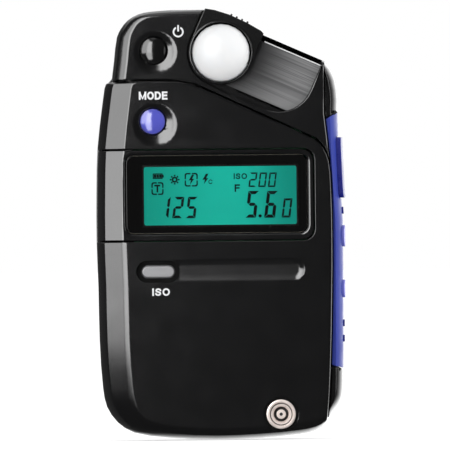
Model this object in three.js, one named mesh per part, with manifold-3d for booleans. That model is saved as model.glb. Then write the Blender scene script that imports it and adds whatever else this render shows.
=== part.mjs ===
// Handheld light meter with a white dome on a sliding carriage.
// Millimetres. X across the front, Y from the front (negative) to the back, Z up the height.
import * as THREE from "three";
import { mergeVertices } from "three/addons/utils/BufferGeometryUtils.js";
import Module from "manifold-3d";

const wasm = await Module();
wasm.setup();

// The battery lies across the base, and sets the width of the meter
const cellBattery = { radius: 7.25, length: 50.5, nub: 2.75, nubLength: 1, leftRoom: 7.1, y: 0.2 };
const endRoom = 6.25;       // for the housing and the contacts at each end

// Overall sizes. The parting plane of the shells is y = 0.
const halfWidth = cellBattery.length / 2 + endRoom;
const height = 110;
const plateDepth = 9;      // parting plane to the face of the lower cover
const headDepth = 8;       // parting plane to the face of the upper cover
const backDepth = 8.5;     // parting plane to the back face
const flankReach = 6;      // how far the right flank comes forward of the parting plane
const wall = 1.2;
const seam = 0.3;          // gap between neighbouring housing pieces
const halfSeam = 0.15;
const glueGap = 0.1;       // glue line between flat pieces
const overrun = 60;        // length by which cutters pass through what they cut
const mergeTolerance = 0.0001;

// Counts of facets
const outerSpans = 2;
const innerSpans = 1;
const roundSteps = 24;
const smallSteps = 12;
const cornerSteps = 4;
const cornerBeside = 2;

// Insets of the housing's outline at each depth, from the front to the parting plane
const bevelWidth = 6.9;
const plateLevels = [
  { y: -plateDepth, left: bevelWidth, right: 0.35, top: 0.3, bottom: 3.2 },
  { y: -8.7, left: 6.4, right: 0.05, top: 0.05, bottom: 2.2 },
  { y: -8, left: 5.15, right: 0, top: 0, bottom: 1.2 },
  { y: -6.2, left: 2, right: 0, top: 0, bottom: 0.5 },
  { y: -3.5, left: 0.6, right: 0, top: 0, bottom: 0.15 },
  { y: 0, left: 0, right: 0, top: 0, bottom: 0 },
];
const headLevels = [
  { y: -headDepth, left: 3.3, right: 0, top: 1.4, bottom: 0 },
  { y: -7.3, left: 2.1, right: 0, top: 0.65, bottom: 0 },
  { y: -6.3, left: 0.9, right: 0, top: 0.15, bottom: 0 },
  { y: -3, left: 0.2, right: 0, top: 0, bottom: 0 },
  { y: 0, left: 0, right: 0, top: 0, bottom: 0 },
];
const backLevels = [
  { y: -flankReach, left: 0, right: 1.9, top: 0, bottom: 0 },
  { y: -4.5, left: 0, right: 1.1, top: 0, bottom: 0 },
  { y: -2.5, left: 0, right: 0.4, top: 0, bottom: 0 },
  { y: 0, left: 0, right: 0, top: 0, bottom: 0 },
  { y: 3, left: 0.3, right: 0.2, top: 0.2, bottom: 0.3 },
  { y: 6, left: 1.5, right: 1.3, top: 0.8, bottom: 1.2 },
  { y: 7.6, left: 3.2, right: 3, top: 1.8, bottom: 2.2 },
  { y: backDepth, left: 5.4, right: 5.2, top: 3.4, bottom: 3.8 },
];

// Outlines seen from the front: distance in from the left or right edge, and share of the height
const leftMargins = [
  [2.39, 0.818], [1.7, 0.774], [0.47, 0.68], [0.09, 0.582], [0, 0.461], [0.32, 0.358], [0.5, 0.234],
  [1.25, 0.122], [2.2, 0.079], [4.9, 0.0425], [9.1, 0.0182], [18.14, 0.0056], [30.11, 0],
];
const coverRightMargins = [
  [21.89, 0.003], [11.69, 0.011], [7.5, 0.019], [4.98, 0.034], [4.44, 0.0515], [3.59, 0.158],
  [2.99, 0.336], [2.8, 0.46], [2.99, 0.585], [3.53, 0.645], [4.91, 0.676], [6.8, 0.695],
];
const coverTopShares = [[0.057, 0.791], [-0.089, 0.8105], [-0.213, 0.826], [-0.333, 0.8318]];
const shoulderMargins = [[4.19, 0.8336], [2.8, 0.829]];
const backShoulderMargins = [[4.6, 0.845], [3.6, 0.8335]];
const headRightMargins = [[12.6, 0.6], [3.15, 0.6], [3.37, 0.65], [3.91, 0.7], [4.6, 0.755]];
const headTopMargins = [
  [19.28, 0.9988], [14.18, 0.9954], [11.28, 0.99], [8.54, 0.9762], [6.74, 0.9566], [5.7, 0.9367],
  [4.91, 0.882],
];
const headLeftMargins = [[4.25, 0.8355]];
const headFootMargins = [[4, 0.78]];
const flankMargins = [
  [21.89, 0.003], [11.69, 0.014], [7.5, 0.024], [4.32, 0.047], [2.74, 0.065], [1.32, 0.0836],
  [0.57, 0.102], [0.32, 0.1345], [0.06, 0.297], [0, 0.436], [0, 0.509], [0.5, 0.585], [1.01, 0.71],
];
// The flank's upper corner: distance in from the right edge, and distance below the head's slope
const cornerDrops = [[1.1, 10.95], [0.98, 8.5], [1.58, 3.8], [2.68, 1.4]];

// Places on the face, as shares of the half width and of the height
const placeShares = {
  dome: [0.026, 0.8982],
  power: [-0.5232, 0.905], powerDish: [-0.5048, 0.9009],
  mode: [-0.534, 0.7401], modeDish: [-0.5143, 0.7327],
  display: [0, 0.5682], iso: [-0.5016, 0.3918], groove: [0, 0.3936],
  measure: [1, 0.6295], up: [1, 0.4705], down: [1, 0.3482],
  upperLeftScrew: [-0.7111, 0.8345], upperRightScrew: [0.7238, 0.7382],
  lowerLeftScrew: [-0.6984, 0], lowerRightScrew: [0.5905, 0],
  leftBoardScrew: [-0.2381, 0], rightBoardScrew: [0.4286, 0], topBoardScrew: [0.127, 0.7],
  battery: [0, 0.1691], sync: [0.4825, 0], chip: [0.0635, 0.3818], strap: [-0.7143, 0.7091],
};
const placeOf = (name) => ({ x: placeShares[name][0] * halfWidth, z: placeShares[name][1] * height });
const levelOf = (name) => placeOf(name).z;
const spotOf = (name, up = 0) => [placeOf(name).x, placeOf(name).z + up];

// Sliding carriage: centre of the dome at rest, slope of the slide
const domeX = placeOf("dome").x;
const domeZ = levelOf("dome");
const slideSlope = THREE.MathUtils.degToRad(23.8);
const domeRadius = 7.6;
const domeRise = 7;
const domeWall = 1.2;
const carriage = {
  front: 8.3, back: 6.5, radius: 8.2, ringRise: 0.6, lipBack: 1.5, lipGap: 0.3,
  hump: [[8.1, 8.75], [7.2, 9.15], [3.1, 9.62], [-1.9, 9.76], [-5.8, 9.36], [-8.2, 8.75]],
};
const ridge = { count: 4, width: 0.5, rise: 0.4, pitch: 1.5, first: -1.6 };
const slope = 8.45;         // distance of the head's sloping edge from the line of the slide
const channel = { floor: 6.2, reach: 8.8, leftReach: 8.5, widensAt: 5, back: 4.8 };
const slot = { low: 7.05, high: 7.95, from: -5, depth: 3 };
const foot = { half: 4, thickness: 0.5, hookLow: 5.6, top: 4.3, bottom: 3.5 };
const plateStrip = { low: 7, high: 6.9, from: 8.9, back: 5.5, face: 5.9, grooves: 12, grooveDepth: 0.12 };

// Display
const bezelSize = { height: 23.4, margin: 7.3, corner: 3, step: 0.15 };
const bezel = {
  ...bezelSize, low: levelOf("display") - bezelSize.height / 2, right: halfWidth - bezelSize.margin,
  high: levelOf("display") + bezelSize.height / 2,
};
const inside = (box, rim, rest) => ({
  left: box.left + rim.left, right: box.right - rim.right, low: box.low + rim.low,
  high: box.high - rim.high, ...rest,
});
const glass = inside({ ...bezel, left: -halfWidth }, { left: 7.8, right: 1.9, low: 2.1, high: 1.6 },
  { corner: 1.8, front: 8.1, back: 7.3, lip: 0.8 });
const lcd = inside(glass, { left: 1.1, right: 0.1, low: 0.3, high: 0.3 },
  { front: 6.8, back: 5, corner: 0.2 });
const lcdView = inside(glass, { left: 4.5, right: 2.6, low: 2, high: 2.8 }, { corner: 0.5 });
const maskThickness = 0.3;
const holder = { wall: 0.6, clear: 0.2 };
const lightPanel = { thickness: 0.8, inset: 1.9 };
const zebra = { height: 1.2, inset: 1.5 };

// Front buttons and their dishes
const powerKey = { ...placeOf("power"), radius: 3.2, dish: placeOf("powerDish"), dishRadius: 5.8 };
const modeKey = { ...placeOf("mode"), radius: 3.1, dish: placeOf("modeDish"), dishRadius: 5.9 };
const dishDepth = 1.3;
const key = {
  clear: 0.2, crown: 0.75, crownShares: [[0, 1], [0.55, 0.72], [0.9, 0.2]], sink: 0.1, bossWall: 2,
  bossGrow: 1.1, flange: 0.6, flangeGrow: 0.8, stem: 1.2, travel: 0.5,
};
const isoKey = { ...placeOf("iso"), halfLength: 4.15, halfHeight: 1.5, sink: 0.35, recessDepth: 0.9 };
const isoRecess = { halfLength: 5.6, halfHeight: 3 };
const groove = { margin: 9.9, z: levelOf("groove"), radius: 5.2, depth: 0.85, endShare: 1 };
const grooveEnd = halfWidth - groove.margin;

// Keys on the right flank
const flankMid = 0.2;       // y of the middle of the flank keys
const measureKey = { z: levelOf("measure"), length: 15.5, halfDepth: 3.2, corner: 1.2, proud: 1.05 };
const upKey = { z: levelOf("up"), length: 5.5, halfDepth: 2.4, corner: 2.2, proud: 0.6 };
const downKey = { z: levelOf("down"), length: 4.6, halfDepth: 2.2, corner: 2, proud: 0.55 };
const lowOf = (flankKey) => flankKey.z - flankKey.length / 2;
const highOf = (flankKey) => flankKey.z + flankKey.length / 2;
const sideKey = { depth: 2.2, clear: 0.2, stem: 1.2, stemHole: 1.6, travel: 0.5 };
const flankKeys = [measureKey, upKey, downKey];
const panelShares = { low: 0.1755, lowOuter: 0.1591, high: 0.7355, highOuter: 0.7718 };
const panel = { inner: halfWidth - 5.5, outer: halfWidth + wall, back: 6.2 };
const touchShares = [0.53, 0.2682, 0.2327];
const touchDots = { halfHeight: 0.9, halfDepth: 0.55, proud: 0.35, depth: 1.3 };

// Sync terminal
const sync = {
  x: placeOf("sync").x, z: 6.45, face: 9.2, flange: 3.9, flangeBack: 8, hole: 4.4, body: 2.7, rear: 4.2,
  bore: 1.94, contact: 1.2, contactHole: 0.46, contactFace: 8.4, contactRear: 3.4, seat: 0.9,
};
const nut = { radius: 3.4, thickness: 1.4, boss: 3.9, seat: 5.8, sides: 6 };

// Boards, switches, cell
const boardShares = { high: 0.7227, tongue: 0.95 };
const board = { front: 3.4, back: 2.2, leftRoom: 9.6, rightRoom: 9.1, overBay: 2.3, tongueSide: 5.5 };
const toggle = { half: 2.3, height: 0.7, plunger: 1.1, plungerHeight: 0.3, sideHeight: 0.4 };
const chip = { ...placeOf("chip"), half: 5, thickness: 1.4 };
const sideBoard = { room: 6.8, thickness: 1, below: 2, above: 0.4, halfDepth: 3.8 };
const sideBoardFace = halfWidth - sideBoard.room;
const cell = {
  windowRadius: 4.4, windowFace: 6, windowBack: 5.1, windowHole: 3.4,
  filterRadius: 3, filterFront: 4.7, filterBack: 4.1, half: 2.6, front: 3.9,
  boardFront: 2.7, boardBack: 1.7, boardHalf: 6.4, postRadius: 0.9, postAt: 5.2,
};
const click = {
  front: 4.4, back: 3.7, thickness: 0.3, from: 6, bend: 10.8, peak: 13.7, to: 15.6, low: 2.6,
  high: 5.1, post: 0.9,
};

// Battery bay, its cover and the contacts
const batteryLeft = cellBattery.leftRoom - halfWidth;
const batteryZ = levelOf("battery");
const bayRoom = { left: 0.9, right: 0.2, side: 0.45 };
const bay = {
  left: batteryLeft - bayRoom.left, right: batteryLeft + cellBattery.length + bayRoom.right,
  low: batteryZ - cellBattery.radius - bayRoom.side,
  high: batteryZ + cellBattery.radius + bayRoom.side, ledge: 0.9, corner: 1,
};
const lidRim = { left: 1.3, right: 0.7, high: 1.7 };
const lid = {
  left: bay.left - lidRim.left, right: bay.right + lidRim.right, low: 3.2, high: bay.high + lidRim.high,
  corner: 2, thickness: 0.9, clear: 0.2,
};
const coil = { radius: 3, topRadius: 2, wire: 0.3, turns: 3, length: 2, steps: 8, sides: 5 };
const contact = { half: 4, thickness: 0.3, gap: 0.1 };

// Fasteners and their bosses
const caseScrew = {
  head: 2, headHeight: 1.3, shank: 0.9, length: 9, sink: 0.3, slot: 0.35, slotReach: 1.2, slotDepth: 0.5,
};
const overLid = { left: 6, right: 4.4 };    // how far the lower screws are above the battery cover
const caseScrewPlaces = [
  spotOf("lowerLeftScrew", lid.high + overLid.left), spotOf("lowerRightScrew", lid.high + overLid.right),
  spotOf("upperLeftScrew"), spotOf("upperRightScrew"),
];
const boss = { radius: 2, backRadius: 3, bore: 1.15, clear: 0.3 };
const boardScrew = { head: 1.5, headHeight: 0.8, shank: 0.65, length: 3 };
const boardLow = bay.high + board.overBay;
const overEdge = { left: 6.8, right: 5.8 };  // how far the lower board screws are above the board's edge
const boardScrewPlaces = [
  spotOf("leftBoardScrew", boardLow + overEdge.left), spotOf("rightBoardScrew", boardLow + overEdge.right),
  spotOf("topBoardScrew"),
];
const boardPost = 1.6;
const strap = { ...placeOf("strap"), halfLength: 4.2, radius: 0.9, notchHalf: 3, notchDepth: 3.2, sink: 1.6 };

// Materials
const black = (roughness) => new THREE.MeshStandardMaterial({ color: 0x1c1c1e, roughness });
const matteBlack = black(0.6);
const glossBlack = black(0.15);
const blue = new THREE.MeshStandardMaterial({ color: 0x5a60c0, roughness: 0.45 });
const deepBlue = new THREE.MeshStandardMaterial({ color: 0x14207a, roughness: 0.5 });
const grey = new THREE.MeshStandardMaterial({ color: 0xa0a0a2, roughness: 0.5 });
const white = new THREE.MeshStandardMaterial({ color: 0xf4f4f2, roughness: 0.6 });
const clear = new THREE.MeshStandardMaterial({ color: 0xcfe0dc, roughness: 0.1 });
const lcdGreen = new THREE.MeshStandardMaterial({ color: 0x1fb29f, roughness: 0.3 });
const metal = new THREE.MeshStandardMaterial({ color: 0xcbbcb5, roughness: 0.3, metalness: 1 });
const boardGreen = new THREE.MeshStandardMaterial({ color: 0x1d5a34, roughness: 0.6 });
const cream = new THREE.MeshStandardMaterial({ color: 0xd8d2c0, roughness: 0.7 });

const meter = new THREE.Group();

// Solids from closed geometry

function toSolid(geometry) {
  geometry.deleteAttribute("normal");
  geometry.deleteAttribute("uv");
  const merged = mergeVertices(geometry, mergeTolerance);
  const place = merged.getAttribute("position");
  const corners = merged.getIndex().array;
  const triangles = [];
  const a = new THREE.Vector3();
  const b = new THREE.Vector3();
  const c = new THREE.Vector3();
  let volume = 0;
  for (let i = 0; i < corners.length; i += 3) {
    const [p, q, r] = [corners[i], corners[i + 1], corners[i + 2]];
    if (p === q || q === r || r === p) continue;
    a.fromBufferAttribute(place, p);
    b.fromBufferAttribute(place, q);
    c.fromBufferAttribute(place, r);
    volume += a.dot(b.cross(c));
    triangles.push([p, q, r]);
  }
  const facing = volume < 0 ? triangles.map(([p, q, r]) => [p, r, q]) : triangles;
  return new wasm.Manifold(new wasm.Mesh({
    numProp: 3,
    vertProperties: new Float32Array(place.array),
    triVerts: new Uint32Array(facing.flat()),
  }));
}

function addMesh(name, solid, material) {
  const shape = solid.getMesh();
  const geometry = new THREE.BufferGeometry();
  geometry.setAttribute("position", new THREE.BufferAttribute(new Float32Array(shape.vertProperties), 3));
  geometry.setIndex(new THREE.BufferAttribute(new Uint32Array(shape.triVerts), 1));
  geometry.computeVertexNormals();
  const mesh = new THREE.Mesh(geometry, material);
  mesh.name = name;
  meter.add(mesh);
}

const joined = (solids) => solids.reduce((whole, solid) => whole.add(solid));
const cut = (solid, cutters) => cutters.reduce((left, cutter) => left.subtract(cutter), solid);

// A plate with the given front outline, from y = front to y = back
function prism(points, front, back) {
  const outline = new THREE.Shape(points.map(([x, z]) => new THREE.Vector2(x, z)));
  const geometry = new THREE.ExtrudeGeometry(outline, { depth: back - front, bevelEnabled: false });
  geometry.rotateX(Math.PI / 2);
  geometry.translate(0, back, 0);
  return toSolid(geometry);
}

// A bar with the given outline in Y and Z, from x = inner to x = outer
function sideBar(points, inner, outer) {
  const outline = new THREE.Shape(points.map(([y, z]) => new THREE.Vector2(y, z)));
  const geometry = new THREE.ExtrudeGeometry(outline, { depth: outer - inner, bevelEnabled: false });
  geometry.applyMatrix4(new THREE.Matrix4().makeBasis(
    new THREE.Vector3(0, 1, 0), new THREE.Vector3(0, 0, 1), new THREE.Vector3(1, 0, 0)));
  geometry.translate(inner, 0, 0);
  return toSolid(geometry);
}

function block(x0, x1, y0, y1, z0, z1) {
  return prism([[x0, z0], [x1, z0], [x1, z1], [x0, z1]], y0, y1);
}

// A turned piece whose axis runs from front to back; the profile is [radius, y]
function turned(profile, x, z, steps = roundSteps) {
  const geometry = new THREE.LatheGeometry(profile.map(([r, y]) => new THREE.Vector2(r, y)), steps);
  geometry.translate(x, 0, z);
  return toSolid(geometry);
}

function disc(radius, x, z, front, back, steps = roundSteps) {
  return turned([[0, front], [radius, front], [radius, back], [0, back]], x, z, steps);
}

// A round bar along X
function crossBar(profile, x, y, z, steps = roundSteps) {
  const geometry = new THREE.LatheGeometry(profile.map(([r, along]) => new THREE.Vector2(r, along)), steps);
  geometry.rotateZ(-Math.PI / 2);
  geometry.translate(x, y, z);
  return toSolid(geometry);
}

const rod = (radius, x0, x1, y, z, steps = smallSteps) =>
  crossBar([[0, 0], [radius, 0], [radius, x1 - x0], [0, x1 - x0]], x0, y, z, steps);

// Outline of a rectangle with round corners
function roundedOutline(low, high, radius) {
  const outline = [];
  const centres = [
    [high[0] - radius, low[1] + radius, -0.5], [high[0] - radius, high[1] - radius, 0],
    [low[0] + radius, high[1] - radius, 0.5], [low[0] + radius, low[1] + radius, 1],
  ];
  for (const [cx, cz, quarter] of centres) {
    for (let i = 0; i <= cornerSteps; i++) {
      const angle = Math.PI * (quarter + i / cornerSteps / 2);
      outline.push([cx + radius * Math.cos(angle), cz + radius * Math.sin(angle)]);
    }
  }
  return outline;
}

const grown = (box, by) => ({
  left: box.left - by, right: box.right + by, low: box.low - by, high: box.high + by,
  corner: Math.max(box.corner + by, glueGap),
});
const plateOf = (box, front, back) =>
  prism(roundedOutline([box.left, box.low], [box.right, box.high], box.corner), front, back);

// Outlines of the housing

const fromLeft = (points) => points.map(([margin, share]) => [margin - halfWidth, share * height]);
const fromRight = (points) => points.map(([margin, share]) => [halfWidth - margin, share * height]);
const fromMiddle = (points) => points.map(([across, share]) => [across * halfWidth, share * height]);

function smooth(points, spans) {
  const curve = new THREE.CatmullRomCurve3(
    points.map(([x, z]) => new THREE.Vector3(x, 0, z)), false, "centripetal");
  return curve.getPoints((points.length - 1) * spans).map((p) => [p.x, p.z]);
}

// A place on the carriage's slide: along the slide, then square to it
function onSlide(along, across) {
  return [
    domeX + along * Math.cos(slideSlope) + across * Math.sin(slideSlope),
    domeZ - along * Math.sin(slideSlope) + across * Math.cos(slideSlope),
  ];
}

const slopeLeft = onSlide(-carriage.radius - halfSeam, slope);
const cornerX = fromRight(headRightMargins).at(-1)[0];
const alongAt = (x, across) => (x - domeX - across * Math.sin(slideSlope)) / Math.cos(slideSlope);
const slopeRight = onSlide(alongAt(cornerX, slope), slope);
const slideTravel = alongAt(cornerX, slope) - channel.reach;

const slopeAt = (x) => onSlide(alongAt(x, slope), slope)[1];
const coverSide = [...fromLeft(leftMargins), ...fromRight(coverRightMargins)];
const headTop = fromLeft([...headTopMargins, ...headLeftMargins]);
const flankSide = [
  ...fromLeft(leftMargins), ...fromRight(flankMargins),
  ...cornerDrops.map(([margin, drop]) => [halfWidth - margin, slopeAt(halfWidth - margin) - drop]),
];
const backTop = fromLeft([...headTopMargins, ...backShoulderMargins]);
const coverCurve = (spans) => [
  ...smooth(coverSide, spans), ...fromMiddle(coverTopShares), ...fromLeft(shoulderMargins),
];
const headCurve = (spans) => [
  ...fromLeft(headFootMargins), ...fromRight(headRightMargins), slopeRight, slopeLeft,
  ...smooth(headTop, spans),
];
const backCurve = (spans) => [...smooth(flankSide, spans), slopeRight, slopeLeft, ...smooth(backTop, spans)];
const coverOutline = coverCurve(outerSpans);
const headOutline = headCurve(outerSpans);
const backOutline = backCurve(outerSpans);

// The outline drawn in by its own amount on each side. Points within a few places of a steep side move
// across with it, so that a broad bevel runs up to a sharp corner.
function drawnIn(outline, inset, beside = 0) {
  const count = outline.length;
  const outward = outline.map((_, i) => {
    const before = outline[(i + count - 1) % count];
    const after = outline[(i + 1) % count];
    const run = new THREE.Vector2(after[0] - before[0], after[1] - before[1]).normalize();
    return [run.y, -run.x];
  });
  const steepest = (i) => {
    const steps = Array.from({ length: 2 * beside + 1 }, (_, k) => (i + k - beside + count) % count);
    return Math.min(...steps.map((k) => outward[k][0]));
  };
  return outline.map(([x, z], i) => {
    const [outX, outZ] = outward[i];
    const across = outX < 0 ? steepest(i) * inset.left : outX * inset.right;
    const endInset = outZ > 0 ? inset.top : inset.bottom;
    return [x - across, z - outZ * endInset];
  });
}

const evenInset = (by) => ({ left: by, right: by, top: by, bottom: by });

// A closed body through the outline at each level
function loft(outline, levels, beside = 0) {
  const rings = levels.map((level) => drawnIn(outline, level, beside).map(([x, z]) => [x, level.y, z]));
  const count = outline.length;
  const triangles = [];
  const flat = (ring) => ring.map(([x, , z]) => new THREE.Vector2(x, z));
  const last = (rings.length - 1) * count;
  for (const [a, b, c] of THREE.ShapeUtils.triangulateShape(flat(rings[0]), [])) triangles.push(a, b, c);
  for (const [a, b, c] of THREE.ShapeUtils.triangulateShape(flat(rings.at(-1)), [])) {
    triangles.push(last + a, last + c, last + b);
  }
  for (let level = 0; level < rings.length - 1; level++) {
    for (let i = 0; i < count; i++) {
      const [a, b] = [level * count + i, level * count + (i + 1) % count];
      triangles.push(a, a + count, b, b, a + count, b + count);
    }
  }
  const geometry = new THREE.BufferGeometry();
  geometry.setAttribute("position", new THREE.BufferAttribute(new Float32Array(rings.flat(2)), 3));
  geometry.setIndex(triangles);
  return toSolid(geometry);
}

// Every second level moved in by a wall, with its own extra insets, and run on past the parting plane
function innerLevels(levels, by, extra, pastBack) {
  const last = levels.length - 1;
  const used = levels.filter((_, i) => (pastBack ? i : last - i) % 2 === 0 || i === 0 || i === last);
  const moved = used.map((level) => ({
    y: level.y + (pastBack ? by : -by),
    left: level.left + by + (extra.left ?? 0),
    right: level.right + by + (extra.right ?? 0),
    top: level.top + by + (extra.top ?? 0),
    bottom: level.bottom + by + (extra.bottom ?? 0),
  }));
  const end = pastBack ? moved.at(-1) : moved[0];
  const open = { ...end, y: pastBack ? overrun : -overrun };
  return pastBack ? [...moved, open] : [open, ...moved];
}

const openTop = { top: -wall * 3, left: -wall / 3 };
const openBottom = { bottom: -wall * 3 };
const coverZone = (front, back, by) => prism(drawnIn(coverOutline, evenInset(-by)), front, back);
const headZone = (front, back, by) => prism(drawnIn(headOutline, evenInset(-by)), front, back);
const coverHollow = (levels) =>
  loft(coverCurve(innerSpans), innerLevels(levels, wall, openTop, true), cornerBeside);
const bossAt = ([x, z], radius, front, back) => disc(radius, x, z, front, back, smallSteps);

// Cutters for the round dishes and for the groove

function dishCutter(place, face) {
  const { dish, dishRadius } = place;
  const profile = [];
  const sphere = (dishRadius ** 2 + dishDepth ** 2) / (2 * dishDepth);
  for (let i = 0; i <= cornerSteps + 1; i++) {
    const r = dishRadius * i / (cornerSteps + 1);
    profile.push([r, -face + dishDepth - sphere + Math.sqrt(sphere ** 2 - r ** 2)]);
  }
  return turned([...profile, [dishRadius, -face - wall], [0, -face - wall]], dish.x, dish.z);
}

function grooveCutter() {
  const rise = groove.radius - groove.depth;
  const endReach = groove.endShare * Math.sqrt(groove.radius ** 2 - rise ** 2);
  const length = grooveEnd - isoKey.x - endReach;
  const steps = smallSteps / 2;
  const profile = [[0, 0], [groove.radius, 0], [groove.radius, length]];
  for (let i = 1; i <= steps; i++) {
    const angle = Math.PI / 2 * i / steps;
    const along = length + groove.radius * groove.endShare * Math.sin(angle);
    profile.push([groove.radius * Math.cos(angle), along]);
  }
  profile[profile.length - 1][0] = 0;
  return crossBar(profile, isoKey.x, -plateDepth - rise, groove.z, roundSteps);
}

function capsuleOutline(x, z, halfLength, halfHeight) {
  return roundedOutline([x - halfLength, z - halfHeight], [x + halfLength, z + halfHeight],
    halfHeight - mergeTolerance);
}

// Places in depth that the front buttons share
const flangeFront = (face) => -face + key.bossWall + key.clear;
const flangeBack = (face) => flangeFront(face) + key.flange;
const toggleTop = -board.front - glueGap - toggle.height - toggle.plungerHeight;
const stemEnd = toggleTop - key.travel - key.clear / 2;
const sideToggleTop = sideBoardFace + glueGap + toggle.sideHeight + toggle.plungerHeight;

// Tip of a case screw, from the depth of its head
const screwHeadBack = backDepth - caseScrew.sink;
const screwTip = screwHeadBack - caseScrew.headHeight - caseScrew.length;

function buttonHole(place, face) {
  return disc(place.radius + key.clear, place.x, place.z, -face - wall, -face + key.bossWall + wall);
}

function buttonBoss(place, face) {
  const radius = place.radius + key.clear + key.bossGrow;
  return disc(radius, place.x, place.z, -face + wall / 2, -face + key.bossWall);
}

// Front cover

function makeFrontCover() {
  const bezelCut = plateOf({ ...bezel, left: -overrun, low: bezel.low - halfSeam, high: bezel.high + halfSeam,
    right: bezel.right + halfSeam }, -overrun, seam);
  const face = loft(coverOutline, plateLevels, cornerBeside);
  const skin = -plateDepth + wall / 2;
  const lowScrews = caseScrewPlaces.slice(0, 2);
  const posts = [
    ...boardScrewPlaces.map((place) => bossAt(place, boardPost, skin, -board.front - glueGap)),
    ...lowScrews.map((place) => bossAt(place, boss.radius, skin, -halfSeam)),
  ].map((post) => post.intersect(face));
  const hollow = cut(face, [coverHollow(plateLevels)]);
  const solid = joined([hollow, ...posts, buttonBoss(modeKey, plateDepth)]);
  const isoBoss = prism(capsuleOutline(isoKey.x, isoKey.z, isoRecess.halfLength + wall,
    isoRecess.halfHeight + wall), skin, -plateDepth + key.bossWall);
  const syncBoss = disc(nut.boss, sync.x, sync.z, skin, -nut.seat).intersect(face);
  const grooveBack = block(isoKey.x, grooveEnd, skin, -plateDepth + groove.depth + wall,
    groove.z - isoRecess.halfHeight, groove.z + isoRecess.halfHeight);
  return cut(joined([solid, isoBoss, grooveBack, syncBoss]), [
    block(-overrun, overrun, -halfSeam, overrun, -overrun, height + overrun),
    bezelCut,
    dishCutter(modeKey, plateDepth),
    buttonHole(modeKey, plateDepth),
    grooveCutter(),
    prism(capsuleOutline(isoKey.x, isoKey.z, isoRecess.halfLength, isoRecess.halfHeight),
      -overrun, -plateDepth + isoKey.recessDepth),
    prism(capsuleOutline(isoKey.x, isoKey.z, isoKey.halfLength + key.clear, isoKey.halfHeight + key.clear),
      -overrun, 0),
    disc(sync.hole, sync.x, sync.z, -overrun, -sync.flangeBack + seam),
    disc(sync.body + key.clear, sync.x, sync.z, -overrun, 0),
    ...boardScrewPlaces.map((place) => bossAt(place, boardScrew.shank + halfSeam,
      -board.front - boardScrew.length, overrun)),
    ...lowScrews.map((place) => bossAt(place, caseScrew.shank + halfSeam, screwTip - halfSeam, overrun)),
    ...sideStemHoles(),
  ]);
}

function sideStemHoles() {
  return flankKeys.map((flankKey) => rod(sideKey.stemHole, sideBoardFace, overrun, flankMid, flankKey.z));
}

// Head cover with the channel of the carriage

function channelOutline(by) {
  const steps = cornerSteps * 2;
  const [left, right] = [channel.leftReach + by, channel.reach + by];
  const outline = [onSlide(-left, slope + overrun), onSlide(-left, 0)];
  for (let i = 1; i <= steps; i++) {
    const angle = Math.PI + Math.PI / 2 * i / steps;
    outline.push(onSlide(left * Math.cos(angle), left * Math.sin(angle)));
  }
  outline.push(onSlide(channel.widensAt, -right));
  for (let i = 0; i <= steps; i++) {
    const angle = -Math.PI / 2 + Math.PI / 2 * i / steps;
    outline.push(onSlide(slideTravel + right * Math.cos(angle), right * Math.sin(angle)));
  }
  outline.push(onSlide(slideTravel + right, slope + overrun));
  return outline;
}

function stripOutline(by) {
  const outline = [onSlide(plateStrip.from - by, -plateStrip.low - by)];
  const reach = channel.reach - seam;
  const lowest = Math.asin(plateStrip.low / reach);
  for (let i = 0; i <= cornerSteps; i++) {
    const angle = -lowest * (1 - i / cornerSteps);
    outline.push(onSlide(slideTravel + (reach + by) * Math.cos(angle), (reach + by) * Math.sin(angle)));
  }
  outline.push(onSlide(slideTravel + reach + by, plateStrip.high + by));
  outline.push(onSlide(plateStrip.from - by, plateStrip.high + by));
  return outline;
}

const slideBox = (s0, s1, t0, t1, front, back) =>
  prism([onSlide(s0, t0), onSlide(s1, t0), onSlide(s1, t1), onSlide(s0, t1)], front, back);

function makeHeadCover() {
  const face = loft(headOutline, headLevels);
  const hollow = cut(face, [loft(headCurve(innerSpans), innerLevels(headLevels, wall, openBottom, true))]);
  const floor = prism(channelOutline(wall), -headDepth + wall / 2, -channel.back).intersect(
    loft(headOutline, headLevels));
  const cellPosts = [-cell.postAt, cell.postAt].map((s) =>
    bossAt(onSlide(s, 0), cell.postRadius, -channel.back - wall / 2, -cell.boardFront - glueGap));
  const clickPost = slideBox(click.from - click.post, click.from, click.low, click.low + click.post * 2,
    -channel.back - wall / 2, -click.back);
  const highScrews = caseScrewPlaces.slice(2);
  const caseBosses = highScrews.map((place) =>
    bossAt(place, boss.radius, -headDepth + wall / 2, -halfSeam).intersect(face));
  const bosses = [...cellPosts, clickPost, ...caseBosses, buttonBoss(powerKey, headDepth)];
  return cut(joined([hollow, floor, ...bosses]), [
    coverZone(-overrun, overrun, seam),
    block(-overrun, overrun, -halfSeam, overrun, -overrun, height + overrun),
    prism(channelOutline(0), -overrun, -channel.floor),
    prism(stripOutline(halfSeam), -overrun, -plateStrip.back + glueGap),
    slideBox(slot.from, slideTravel + channel.reach, slot.low, slot.high, -overrun, -slot.depth),
    disc(cell.windowRadius + halfSeam, domeX, domeZ, -overrun, -cell.windowBack + glueGap),
    disc(cell.windowHole, domeX, domeZ, -overrun, 0),
    dishCutter(powerKey, headDepth),
    buttonHole(powerKey, headDepth),
    ...highScrews.map((place) => bossAt(place, caseScrew.shank + halfSeam, screwTip - halfSeam, overrun)),
  ]);
}

// Back shell and the pieces on its outside

const flankShell = () => cut(loft(backOutline, backLevels), [
  block(-overrun, panel.inner, -overrun, halfSeam, -overrun, height + overrun),
]);

// The battery cover's recess runs out through the base, so that the cover can slide down
const lidRecess = () => prism(roundedOutline([lid.left - lid.clear, -lid.clear],
  [lid.right + lid.clear, lid.high + lid.clear], lid.corner + lid.clear), 0, overrun);

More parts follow.
